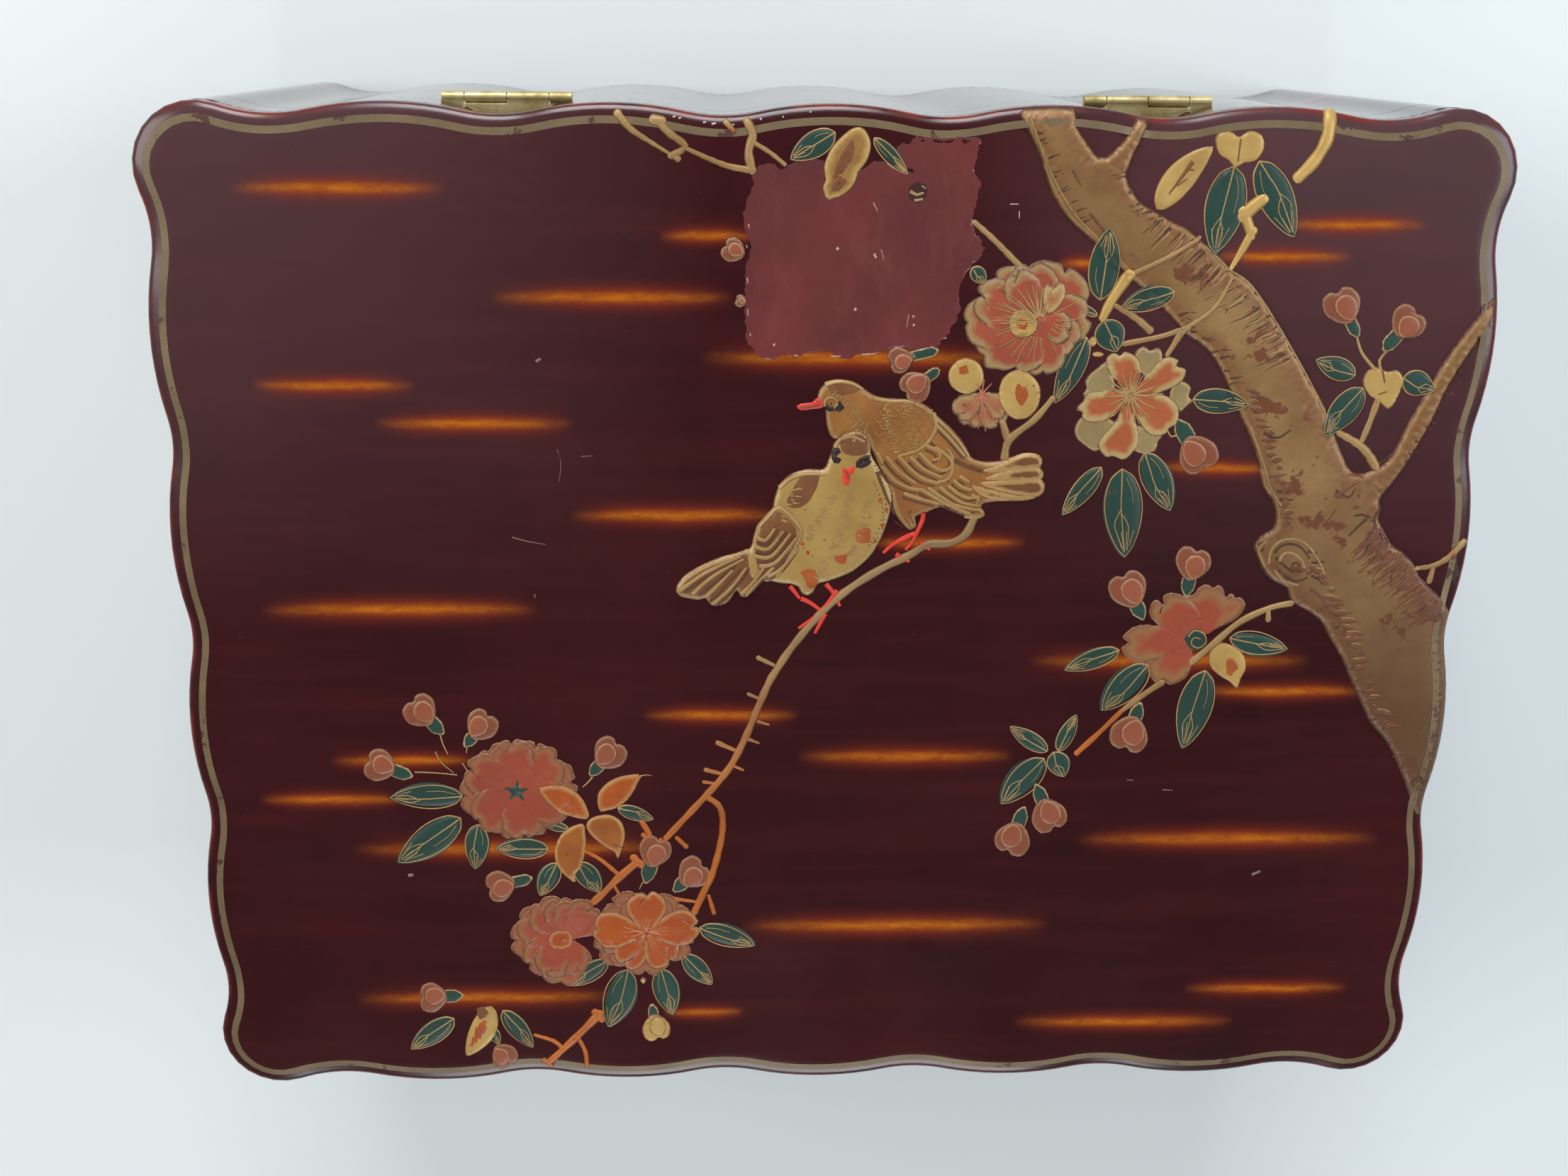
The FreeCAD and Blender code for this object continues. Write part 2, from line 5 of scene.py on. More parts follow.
import bmesh
import bpy
import numpy as np
from mathutils import Matrix, Vector

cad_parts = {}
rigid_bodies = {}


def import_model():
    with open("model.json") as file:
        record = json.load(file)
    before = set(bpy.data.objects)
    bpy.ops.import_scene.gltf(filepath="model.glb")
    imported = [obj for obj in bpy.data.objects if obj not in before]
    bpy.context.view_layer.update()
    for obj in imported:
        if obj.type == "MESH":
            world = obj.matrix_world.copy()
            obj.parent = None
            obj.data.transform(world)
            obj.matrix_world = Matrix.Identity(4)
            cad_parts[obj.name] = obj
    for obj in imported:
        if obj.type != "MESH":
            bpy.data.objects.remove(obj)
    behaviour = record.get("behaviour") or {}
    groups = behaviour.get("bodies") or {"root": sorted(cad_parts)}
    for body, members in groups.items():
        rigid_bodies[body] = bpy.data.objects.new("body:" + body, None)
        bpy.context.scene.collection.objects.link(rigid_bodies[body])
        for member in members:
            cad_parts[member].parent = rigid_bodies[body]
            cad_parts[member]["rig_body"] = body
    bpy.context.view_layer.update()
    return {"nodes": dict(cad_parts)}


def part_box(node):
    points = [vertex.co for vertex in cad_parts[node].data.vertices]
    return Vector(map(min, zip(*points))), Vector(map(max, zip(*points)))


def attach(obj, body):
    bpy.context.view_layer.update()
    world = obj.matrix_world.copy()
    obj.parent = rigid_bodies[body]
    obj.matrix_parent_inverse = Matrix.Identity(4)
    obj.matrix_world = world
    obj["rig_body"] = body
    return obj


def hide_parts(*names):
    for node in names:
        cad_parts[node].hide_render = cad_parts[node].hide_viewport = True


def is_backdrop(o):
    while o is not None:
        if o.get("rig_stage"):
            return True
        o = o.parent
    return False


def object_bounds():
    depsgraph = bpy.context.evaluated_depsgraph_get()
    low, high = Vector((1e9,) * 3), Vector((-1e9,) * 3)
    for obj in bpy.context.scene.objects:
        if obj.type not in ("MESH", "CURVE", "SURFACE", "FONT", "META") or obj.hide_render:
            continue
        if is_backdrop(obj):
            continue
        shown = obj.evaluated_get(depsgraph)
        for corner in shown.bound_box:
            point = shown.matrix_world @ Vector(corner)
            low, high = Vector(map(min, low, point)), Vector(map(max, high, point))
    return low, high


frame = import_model()

# ---- Camera ----
# It looks steeply down at the lid from just beyond the hinge side, as in the photograph.
# Places on the lid are given further down by the photograph's own pixels.

PICTURE_WIDTH, PICTURE_MIDDLE, PICTURE_FOCUS = 2212, (1106.0, 829.5), 2440.0
SENSOR_WIDTH = 36.0
eye = Vector((-0.0261, 0.15745, 0.59507))
eye_right = Vector((0.99952, 0.00783, 0.03005)).normalized()
eye_up = Vector((0.00178, 0.95166, -0.30716)).normalized()
eye_back = eye_right.cross(eye_up).normalized()

camera = bpy.data.objects.new("camera", bpy.data.cameras.new("camera"))
camera.data.sensor_width = SENSOR_WIDTH
camera.data.lens = SENSOR_WIDTH * PICTURE_FOCUS / PICTURE_WIDTH
camera.data.clip_start = 0.01
turned = Matrix((eye_right, eye_up, eye_back)).transposed().to_4x4()
camera.matrix_world = Matrix.Translation(eye) @ turned
bpy.context.scene.collection.objects.link(camera)
bpy.context.scene.camera = camera
bpy.context.scene.view_settings.view_transform = "Standard"

# ---- Floor and light ----
# A plain pale table top, lit by large soft lamps at the sides and behind, none of which
# is mirrored in the lid as the camera sees it.


def tone(red, green, blue):
    """A colour read off in 0 to 255 steps, as the shaders want it."""
    steps = [(part / 255 + 0.055) / 1.055 for part in (red, green, blue)]
    return (*(part ** 2.4 for part in steps), 1.0)


def fill(tree, node, inputs):
    """Sets inputs of a shader node; each is a value or another node's output."""
    for name, value in inputs.items():
        if isinstance(value, bpy.types.NodeSocket):
            tree.links.new(value, node.inputs[name])
        else:
            node.inputs[name].default_value = value
    return node


def add(tree, kind, inputs=None, **settings):
    """Adds a shader node."""
    made = tree.nodes.new("ShaderNode" + kind)
    for name, value in settings.items():
        setattr(made, name, value)
    return fill(tree, made, inputs or {})


def sums(tree, operation, first, second=0.0, clamp=False):
    """One step of arithmetic on values."""
    return add(tree, "Math", {0: first, 1: second}, operation=operation, use_clamp=clamp).outputs[0]


def times(tree, first, second):
    """The product of two values."""
    return sums(tree, "MULTIPLY", first, second)


def blend(tree, share, first, second):
    """The first colour, turning to the second as the share goes from 0 to 1."""
    mixed = add(tree, "Mix", {"Factor": share, 6: first, 7: second}, data_type="RGBA")
    return mixed.outputs[2]


def new_finish(name):
    """A new material with its tree, its shader and its object coordinates."""
    material = bpy.data.materials.new(name)
    material.use_nodes = True
    tree = material.node_tree
    shader = tree.nodes["Principled BSDF"]
    return material, tree, shader, add(tree, "TexCoord").outputs["Object"]


def noise(tree, vector, scale, detail=2.0, roughness=0.5, stretch=None):
    """Cloudy values from 0 to 1 over the surface."""
    if stretch:
        vector = add(tree, "Mapping", {"Vector": vector, "Scale": stretch}).outputs[0]
    return add(tree, "TexNoise", {"Vector": vector, "Scale": scale, "Detail": detail,
                                  "Roughness": roughness}).outputs["Fac"]


def span(tree, value, low, high, new_low=0.0, new_high=1.0):
    """A value stretched from one span to another, and held within it."""
    return add(tree, "MapRange", {"Value": value, "From Min": low, "From Max": high,
                                  "To Min": new_low, "To Max": new_high}).outputs[0]


def roughen(tree, shader, height, strength, distance):
    """Lets the surface of a finish follow a height."""
    bump = add(tree, "Bump", {"Height": height, "Strength": strength, "Distance": distance})
    fill(tree, shader, {"Normal": bump.outputs[0]})


def new_piece(shape, name, material, body=None, smooth=True):
    """Makes a bmesh an object that rides on its body."""
    mesh = bpy.data.meshes.new(name)
    shape.to_mesh(mesh)
    shape.free()
    mesh.materials.append(material)
    for face in mesh.polygons:
        face.use_smooth = smooth
    piece = bpy.data.objects.new(name, mesh)
    bpy.context.scene.collection.objects.link(piece)
    if body:
        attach(piece, body)
    return piece


table_finish, tree, shader, place = new_finish("table_top")
fill(tree, shader, {"Base Color": tone(212, 219, 220), "Roughness": 0.65})
shape = bmesh.new()
bmesh.ops.create_grid(shape, x_segments=2, y_segments=2, size=4.0)
table_top = new_piece(shape, "table_top", table_finish)
table_top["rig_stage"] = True

world = bpy.data.worlds.new("room")
world.use_nodes = True
fill(world.node_tree, world.node_tree.nodes["Background"], {"Color": tone(232, 240, 246), "Strength": 0.20})
bpy.context.scene.world = world


def soft_lamp(name, place, size, power, tint):
    """A square soft lamp that faces the middle of the lid."""
    lamp = bpy.data.lights.new(name, "AREA")
    lamp.size = size
    lamp.energy = power
    lamp.color = tone(*tint)[:3]
    holder = bpy.data.objects.new(name, lamp)
    holder.location = place
    holder.rotation_euler = (Vector((0, 0, 0.1)) - Vector(place)).to_track_quat("-Z", "Y").to_euler()
    bpy.context.scene.collection.objects.link(holder)


soft_lamp("lamp_left", (-1.55, 0.5, 1.35), 1.1, 23.0, (255, 251, 244))
soft_lamp("lamp_right", (1.65, 0.25, 1.35), 1.1, 20.5, (246, 250, 255))
soft_lamp("lamp_back", (-0.1, 1.75, 1.15), 0.9, 34.0, (250, 252, 255))
soft_lamp("lamp_front", (0.0, -2.1, 1.2), 1.0, 20.0, (252, 252, 255))

# ---- Case: base board, four mitred walls ----
# Thin boards of light wood under many coats of brown-black lacquer. Long flames of gold leaf
# glow through the clear top coat, as on tortoiseshell. The wave-edged outline runs all round.


FLAME_PLACE = ("Middle Along", "Middle Across", "Half Length", "Half Width")


def new_group(name, sockets):
    """A shader group, its given values and its results, from (name, in or out, kind) of each socket."""
    group = bpy.data.node_groups.new(name, "ShaderNodeTree")
    for socket, way, kind in sockets:
        group.interface.new_socket(socket, in_out=way + "PUT", socket_type="NodeSocket" + kind)
    return group, group.nodes.new("NodeGroupInput").outputs, group.nodes.new("NodeGroupOutput")


def flame_group():
    """One long flame: where it glows, and where its bright heart is."""
    group, given, result = new_group("tortoiseshell_flame", [
        (name, way, "Float") for way, names in (("IN", ("Along", "Across", *FLAME_PLACE)),
                                                ("OUT", ("Glow", "Heart"))) for name in names])
    along = sums(group, "DIVIDE", sums(group, "SUBTRACT", given[0], given[2]), given[4])
    across = sums(group, "DIVIDE", sums(group, "SUBTRACT", given[1], given[3]), given[5])
    taper = sums(group, "SUBTRACT", 1.0, times(group, along, along), clamp=True)
    spread = times(group, across, across)
    glow = times(group, sums(group, "POWER", taper, 1.3),
                 sums(group, "EXPONENT", times(group, spread, -0.55)))
    heart = times(group, sums(group, "POWER", taper, 1.2),
                  sums(group, "EXPONENT", times(group, spread, -3.0)))
    fill(group, result, {"Glow": glow, "Heart": heart})
    return group


tortoiseshell_flame = flame_group()


def lacquer(name, flames, axes=("X", "Y"), painted_reflection_share=0.0, wear=1.0):
    """Brown-black lacquer; a flame is (middle along, middle across, half length, half width)."""
    material, tree, shader, place = new_finish(name)
    parts = add(tree, "SeparateXYZ", {0: place}).outputs
    wander = times(tree, sums(tree, "SUBTRACT", noise(tree, place, 60, 3), 0.5), 0.0013)
    along, across = parts[axes[0]], sums(tree, "ADD", parts[axes[1]], wander)
    glow, heart = 0.0, 0.0
    for flame in flames:
        made = add(tree, "Group", {"Along": along, "Across": across, **dict(zip(FLAME_PLACE, flame))},
                   node_tree=tortoiseshell_flame).outputs
        glow = sums(tree, "MAXIMUM", made["Glow"], glow)
        heart = sums(tree, "MAXIMUM", made["Heart"], heart)
    mottle = span(tree, noise(tree, place, 11, 5, 0.62), 0.3, 0.72)
    deep = blend(tree, mottle, tone(38, 7, 11), tone(56, 13, 17))
    streaks = span(tree, noise(tree, place, 9, 3, 0.6, (1.2, 14.0, 14.0)), 0.45, 0.8)
    deep = blend(tree, times(tree, streaks, 0.27), deep, tone(78, 27, 22))
    # Painted reflection: a pale purple-grey tint towards the hinge side and the ends, standing in for light
    # mirrored in the gloss.
    if painted_reflection_share:
        height = span(tree, parts["Y"], 0.0, 0.15)
        sides = span(tree, sums(tree, "ABSOLUTE", parts["X"]), 0.03, 0.15, 0.0, 1.0)
        reflection_mask = times(tree, times(tree, height, sides),
                     span(tree, noise(tree, place, 5, 2), 0.25, 0.7, 0.45, 1.0))
        deep = blend(tree, times(tree, reflection_mask, painted_reflection_share), deep, tone(112, 84, 88))
    leaf = span(tree, noise(tree, place, 300, 5, 0.85, (0.45, 1.6, 1.6)), 0.34, 0.62, 0.25, 1.0)
    warm = blend(tree, times(tree, glow, 0.85), deep, tone(124, 40, 14))
    bright = times(tree, times(tree, heart, leaf), 0.9)
    colour = blend(tree, bright, warm, tone(176, 100, 14))
    orange_peel = noise(tree, place, 340, 2, 0.6)
    brushed = noise(tree, place, 22, 3, 0.5, (1.0, 18.0, 18.0))
    gloss = span(tree, noise(tree, place, 26, 4), 0.3, 0.75, 0.15 * wear, 0.27 * wear)
    height = sums(tree, "ADD", times(tree, orange_peel, 0.4), brushed)
    roughen(tree, shader, height, 0.05 * wear, 0.0004)
    fill(tree, shader, {"Base Color": colour, "Roughness": gloss, "IOR": 1.42})
    return material, tree, shader, place, parts


FLAMES_FROM, FLAMES_TO = 0.012, 0.112


def wall_flames(count, reach, seed):
    """Flames spread over a wall, each in its own stretch so that none run together."""
    pick = random.Random(seed)
    return [((index + 0.5 + pick.uniform(-0.3, 0.3)) * 2 * reach / count - reach,
             pick.uniform(FLAMES_FROM, FLAMES_TO), pick.uniform(0.016, 0.032), pick.uniform(0.0013, 0.0021))
            for index in range(count)]


CREASE, SHARP_CORNER, WELD = radians(35), radians(50), 1e-6


def merged_piece(node, material, arris=0.0):
    """A finished copy of a solid: triangles merged, arrises softened. It stands for the solid."""
    shape = bmesh.new()
    shape.from_mesh(frame["nodes"][node].data)
    bmesh.ops.remove_doubles(shape, verts=shape.verts, dist=WELD)
    for edge in shape.edges:
        edge.smooth = edge.calc_face_angle(0.0) < CREASE
    piece = new_piece(shape, node + "_finished", material, frame["nodes"][node]["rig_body"])
    if arris:
        bevel = piece.modifiers.new("arris", "BEVEL")
        bevel.width = arris
        bevel.segments = 2
        bevel.limit_method = "ANGLE"
        bevel.angle_limit = SHARP_CORNER
        bevel.use_clamp_overlap = True
    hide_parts(node)
    return piece


front_lacquer = lacquer("case_lacquer_long", wall_flames(11, 0.165, 4), ("X", "Z"), wear=0.3)[0]
side_lacquer = lacquer("case_lacquer_short", wall_flames(8, 0.13, 9), ("Y", "Z"), wear=0.3)[0]
merged_piece("base_board", front_lacquer)
WALL_LACQUER = (("front", front_lacquer), ("back", front_lacquer), ("left", side_lacquer),
                ("right", side_lacquer))
for side, flames in WALL_LACQUER:
    merged_piece("case_wall_" + side, flames)

# ---- Case lining: liner boards, ledges, floor card ----
# Liner boards stand a little proud of the joint and guide the lid. They and the floor card
# are covered with woven silk. Two ledges carry the tray.


def silk(name, ground, figure, scale):
    """Woven silk with a small lozenge figure in the weave."""
    material, tree, shader, place = new_finish(name)
    parts = add(tree, "SeparateXYZ", {0: place}).outputs
    across = sums(tree, "SUBTRACT", parts["X"], parts["Y"])
    flat = add(tree, "CombineXYZ", {0: sums(tree, "ADD", parts["X"], parts["Y"]),
                                    1: sums(tree, "ADD", across, parts["Z"])})
    lozenge = add(tree, "TexChecker", {"Vector": flat.outputs[0], "Scale": scale}).outputs["Fac"]
    threads = add(tree, "TexWave", {"Vector": place, "Scale": scale * 6, "Distortion": 0.4},
                  bands_direction="DIAGONAL").outputs["Fac"]
    worn = span(tree, noise(tree, place, 30, 4), 0.35, 0.7)
    share = times(tree, times(tree, lozenge, 0.7),
                  sums(tree, "SUBTRACT", 1.0, times(tree, worn, 0.5)))
    colour = blend(tree, share, ground, figure)
    colour = blend(tree, times(tree, threads, 0.25), colour, ground)
    fill(tree, shader, {"Base Color": colour, "Roughness": span(tree, threads, 0, 1, 0.5, 0.75),
                        "Sheen Weight": 0.3})
    roughen(tree, shader, threads, 0.25, 0.0003)
    return material


lining_silk = silk("lining_silk", tone(126, 44, 40), tone(168, 122, 66), 210)
for node in ("liner_front", "liner_back", "liner_left", "liner_right", "floor_lining"):
    merged_piece(node, lining_silk, 0.0004)

inner_lacquer = lacquer("inner_lacquer", [])[0]
for node in ("tray_ledge_left", "tray_ledge_right"):
    merged_piece(node, inner_lacquer, 0.0004)

# ---- Hinges ----
# Two small brass butt hinges of rolled sheet, their leaves let into the joint and nailed,
# and brass wire pins.


def metal(name, bright, dull, roughness):
    """Brass or steel that has darkened unevenly."""
    material, tree, shader, place = new_finish(name)
    stain = span(tree, noise(tree, place, 160, 5, 0.65), 0.36, 0.66)
    fill(tree, shader, {"Base Color": blend(tree, stain, bright, dull), "Metallic": 0.75,
                        "Roughness": span(tree, stain, 0, 1, roughness, roughness + 0.2)})
    scratches = noise(tree, place, 90, 3, 0.6, (1.0, 12.0, 12.0))
    roughen(tree, shader, scratches, 0.15, 0.0002)
    return material


brass = metal("old_brass", tone(212, 198, 146), tone(150, 132, 84), 0.36)
for side in ("left", "right"):
    for node in ("hinge_case_leaf_", "hinge_lid_leaf_", "hinge_pin_"):
        merged_piece(node + side, brass, 0.00008)
for node in ("case_leaf_nails", "lid_leaf_nails"):
    merged_piece(node, brass)

# ---- Lock, keeper and keyhole plate ----
# A brass box lock let into the front wall, its steel bolt, the keeper with its lug under the
# lid, and an oval plate round the keyhole.

steel = metal("lock_steel", tone(150, 150, 148), tone(92, 86, 80), 0.3)
for node in ("lock_case", "lock_nails", "lock_keeper", "keeper_lug", "keeper_nails", "escutcheon",
             "escutcheon_pins"):
    merged_piece(node, brass, 0.0001)
merged_piece("lock_bolt", steel, 0.0001)

# ---- Tray: floor, four walls, halved dividers ----
# Thin boards in plain lacquer that lift out together.

for node in ("tray_floor", "tray_wall_front", "tray_wall_back", "tray_wall_left", "tray_wall_right",
             "long_divider_front", "long_divider_back", "cross_divider_left", "cross_divider_right"):
    merged_piece(node, inner_lacquer, 0.0003)

# ---- Covers and knobs of the four corner compartments ----
# Lacquered lids that drop in flush, each with a turned bone knob.

bone, tree, shader, place = new_finish("turned_bone")
rings = add(tree, "TexWave", {"Vector": place, "Scale": 90.0, "Distortion": 2.0, "Detail": 3.0},
            bands_direction="Z").outputs["Fac"]
grain = blend(tree, times(tree, rings, 0.35), tone(226, 212, 178), tone(186, 160, 116))
fill(tree, shader, {"Base Color": grain, "Roughness": 0.38})
KNOB_PROFILE = ((0.0, 0.0), (4.4, 0.0), (4.6, 0.35), (4.3, 0.8), (2.7, 1.2), (2.1, 2.0), (2.2, 2.6),
    (3.4, 3.1), (4.1, 3.9), (4.2, 4.8), (3.7, 5.6), (2.4, 6.05), (0.9, 6.2), (0.0, 6.2))
for corner in ("front_left", "front_right", "back_left", "back_right"):
    merged_piece("cover_" + corner, inner_lacquer, 0.0003)
    low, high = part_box("knob_" + corner)
    middle = (low + high) / 2
    shape = bmesh.new()
    points = [shape.verts.new((middle.x + radius / 1000, middle.y, low.z + height / 1000))
              for radius, height in KNOB_PROFILE]
    edges = [shape.edges.new(pair) for pair in zip(points, points[1:])]
    bmesh.ops.spin(shape, geom=points + edges, cent=middle, axis=(0, 0, 1), angle=2 * pi, steps=40,
                   use_merge=True)
    bmesh.ops.remove_doubles(shape, verts=shape.verts, dist=WELD)
    bmesh.ops.recalc_face_normals(shape, faces=shape.faces)
    knob = new_piece(shape, "knob_" + corner + "_turned", bone, "cover_" + corner + "_body")
    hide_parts("knob_" + corner)

# ---- Pincushion ----
# A stuffed silk cushion on its board. Its sides are drawn in between the corners, where the
# silk is gathered.

merged_piece("pincushion_board", inner_lacquer, 0.0003)
cushion_silk = silk("cushion_silk", tone(150, 52, 46), tone(176, 132, 72), 260)
DRAWN_IN, CORNER_HEIGHT, GATHERS, DENTS, CUSHION_FIT = 0.05, 0.3, 0.06, 0.015, 0.985
low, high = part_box("pincushion")
middle = (low + high) / 2
half = (high - low) / 2
shape = bmesh.new()
bmesh.ops.create_cube(shape, size=2.0)
bmesh.ops.subdivide_edges(shape, edges=shape.edges, cuts=23, use_grid_fill=True)
for vert in shape.verts:
    u, v, w = vert.co
    pulled_x = 1 - DRAWN_IN * (1 - v * v) * (1 if abs(u) > 0.5 else abs(u) * 2)
    pulled_y = 1 - DRAWN_IN * (1 - u * u) * (1 if abs(v) > 0.5 else abs(v) * 2)
    crown = (1 - u ** 4) * (1 - v ** 4)
    level = w * (CORNER_HEIGHT + (1 - CORNER_HEIGHT) * sqrt(max(crown, 0.0))) if w > 0 else w
    side = 1 - 0.1 * abs(w) ** 3
    gathers = GATHERS * sin(11 * (abs(u) - abs(v)) + 0.8) * abs(u * v) ** 1.5
    gathers += DENTS * sin(5 * u + 3 * v)
    level += gathers * max(w, 0.0) ** 2
    vert.co = Vector((middle.x + half.x * CUSHION_FIT * u * pulled_x * side,
                      middle.y + half.y * CUSHION_FIT * v * pulled_y * side, low.z + (level + 1) * half.z))
bmesh.ops.smooth_vert(shape, verts=shape.verts, factor=0.5, use_axis_x=True, use_axis_y=True,
                      use_axis_z=True)
cushion = new_piece(shape, "pincushion_stuffed", cushion_silk, "tray")
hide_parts("pincushion")

# ---- Lid rims and lining ----
# Four mitred sides under the lid's board, lacquered as the case is, and a silk-covered card inside.

for side, flames in WALL_LACQUER:
    merged_piece("lid_rim_" + side, flames)
merged_piece("lid_lining", lining_silk, 0.0003)

# ---- Lid board ----
# The top board: straight edge, soft falling border, flat middle. The lacquer is the case's,
# with many flames, rubbed to red along its edge, and painted reflection: a pale tint towards the hinge side.

HALF_WIDTH, HALF_DEPTH, WAVE = 0.175, 0.14, 0.003
CORNER_RADIUS, LONG_TROUGH, SHORT_TROUGH = 0.0165, 0.042, 0.031
LONG_CRESTS, SHORT_CRESTS = 5, 4
LID_TOP, BORDER_WIDTH, BORDER_FALL = 0.15, 0.007, 0.0022
ARC_STEPS = 9


def side_arcs(half_length, half_span, trough_radius, crest_count):
    """Arcs of one side and of the corner that ends it: (along, outwards, radius, bulge)."""
    corner_along = half_length - CORNER_RADIUS
    last_trough = corner_along - sqrt(2 * WAVE * (trough_radius + CORNER_RADIUS) - WAVE ** 2)
    half_pitch = last_trough / crest_count
    crest_radius = (half_pitch ** 2 + WAVE ** 2) / (2 * WAVE) - trough_radius
    arcs = []
    for index in range(crest_count + 1):
        along = 2 * index * half_pitch - last_trough
        arcs.append((along, half_span - WAVE + trough_radius, trough_radius, -1))
        if index < crest_count:
            arcs.append((along + half_pitch, half_span - crest_radius, crest_radius, 1))
    return arcs + [(corner_along, half_span - CORNER_RADIUS, CORNER_RADIUS, 1)]


def wave_outline(inset):
    """The lid's outline moved inwards, anticlockwise, as an array of points."""
    long_side = side_arcs(HALF_WIDTH, HALF_DEPTH, LONG_TROUGH, LONG_CRESTS)
    short_side = side_arcs(HALF_DEPTH, HALF_WIDTH, SHORT_TROUGH, SHORT_CRESTS)
    arcs = [(Vector((a, -o)), r, b) for a, o, r, b in long_side]
    arcs += [(Vector((o, a)), r, b) for a, o, r, b in short_side]
    arcs += [(Vector((-a, o)), r, b) for a, o, r, b in long_side]
    arcs += [(Vector((-o, -a)), r, b) for a, o, r, b in short_side]
    arcs = [(centre, radius - bulge * inset) for centre, radius, bulge in arcs]
    touches = [centre + (after - centre) * (radius / (radius + after_radius))
               for (centre, radius), (after, after_radius) in zip(arcs, arcs[1:] + arcs[:1])]
    points = []
    for index, (centre, radius) in enumerate(arcs):
        start, end = touches[index - 1] - centre, touches[index] - centre
        turn = start.angle_signed(end)
        for step in range(ARC_STEPS):
            points.append(centre + Matrix.Rotation(-turn * step / ARC_STEPS, 2) @ start)
    return np.array([tuple(point) for point in points])


def numbered_ring(shape):
    """A closed ring with a point for each point of the lid's outline, and the layer of their numbers."""
    number = shape.verts.layers.int.new("place_in_ring")
    verts = bmesh.ops.create_circle(shape, segments=len(wave_outline(0.0)), radius=1.0)["verts"]
    for index, vert in enumerate(verts):
        vert[number] = index
    return number, verts


def falling_skin(shape, levels):
    """A closed skin through outlines given as (inset, height), each ring extruded from the one before."""
    border = shape.verts.layers.float.new("from_edge")
    number, verts = numbered_ring(shape)
    foot = edges = shape.edges[:]
    for step, (inset, height) in enumerate(levels):
        if step:
            grown = bmesh.ops.extrude_edge_only(shape, edges=edges)["geom"]
            verts = [part for part in grown if isinstance(part, bmesh.types.BMVert)]
            edges = [part for part in grown if isinstance(part, bmesh.types.BMEdge)]
        ring = wave_outline(inset)
        for vert in verts:
            vert.co = (*ring[vert[number]], height)
            vert[border] = inset
    for opening in (edges, foot):
        bmesh.ops.contextual_create(shape, geom=opening)
    bmesh.ops.recalc_face_normals(shape, faces=shape.faces)


def fall_at(inset):
    """How far the border lies below the lid's flat top, at a distance from the outline."""
    share = np.clip(1 - np.asarray(inset, float) / BORDER_WIDTH, 0, 1)
    return BORDER_FALL * (1 - np.sqrt(np.clip(1 - share ** 2, 0, 1)))


def on_lid(px, py):
    """The place on the lid's top that the photograph shows at a pixel."""
    ray = -eye_back + eye_right * (px - PICTURE_MIDDLE[0]) / PICTURE_FOCUS \
        - eye_up * (py - PICTURE_MIDDLE[1]) / PICTURE_FOCUS
    return (eye + ray * ((LID_TOP - eye.z) / ray.z)).to_2d()


# Flames of the lid: left end, right end and height in the photograph.
LID_FLAMES = ((337, 614, 265), (708, 1018, 420), (936, 1062, 333), (365, 575, 544), (542, 796, 597),
    (818, 1089, 727), (387, 741, 860), (918, 1117, 1009), (1139, 1416, 1067), (476, 664, 1073),
    (376, 564, 1128), (520, 918, 1197), (1237, 1438, 766), (1471, 1830, 932), (1700, 1920, 975),
    (1640, 1795, 660), (1540, 1925, 1183), (1067, 1460, 1305), (520, 852, 1407), (940, 1045, 1428),
    (1681, 1891, 1394), (1443, 1725, 1441), (1010, 1400, 505), (1815, 2005, 317), (1719, 1900, 362),
    (1495, 1570, 372))
flames = []
for start, end, height in LID_FLAMES:
    middle = on_lid((start + end) / 2, height)
    half_length = (on_lid(end, height) - on_lid(start, height)).length / 2
    flames.append((middle.x, middle.y, half_length * 1.12, 0.0012 + 0.031 * half_length))
lid_lacquer, tree, shader, place, parts = lacquer("lid_lacquer", flames, painted_reflection_share=0.6)
edge = add(tree, "Attribute", attribute_name="from_edge").outputs["Fac"]
rubbed = times(tree, span(tree, edge, 0.0004, 0.0016, 1.0, 0.0),
               span(tree, noise(tree, place, 70, 4, 0.7), 0.42, 0.62))
under = shader.inputs["Base Color"].links[0].from_socket
fill(tree, shader, {"Base Color": blend(tree, rubbed, under, tone(112, 40, 30))})

shape = bmesh.new()
levels = [(0.0, 0.142), (0.0, LID_TOP - BORDER_FALL)]
for step in range(1, 11):
    angle = pi / 2 * step / 10
    inset = BORDER_WIDTH * (1 - cos(angle))
    levels.append((inset, LID_TOP - float(fall_at(inset))))
levels.append((0.01, LID_TOP))
falling_skin(shape, levels)
lid_board = new_piece(shape, "lid_board_lacquered", lid_lacquer, "lid")
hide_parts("lid_board")

# ---- How the decoration is heaped on the lid ----
# Raised lacquer: each form is built up over its drawn outline with a soft shoulder, and what
# is laid over another form follows its height.

RIM = wave_outline(0.0)
pixel = 1 / 5560


def marks(*pixels):
    """Places on the lid from pixels of the photograph."""
    return [on_lid(px, py) for px, py in pixels]


def smooth_line(points, step, closed=False):
    """Points about a step apart on a smooth line through the given ones."""
    count, result = len(points), []
    for index in range(count if closed else count - 1):
        around = [index + shift for shift in (-1, 0, 1, 2)]
        before, start, end, after = [points[number % count if closed else min(max(number, 0), count - 1)]
                                     for number in around]
        steps = max(1, round((end - start).length / step))
        for number in range(steps):
            t = number / steps
            result.append(0.5 * (2 * start + (end - before) * t
                                 + (2 * before - 5 * start + 4 * end - after) * t * t
                                 + (3 * start - before - 3 * end + after) * t ** 3))
    return result if closed else result + [points[-1]]


def outlines(*paths, step=0.0006):
    """Smooth closed outlines through places given by pixels of the photograph."""
    return [smooth_line(marks(*path), step, True) for path in paths]


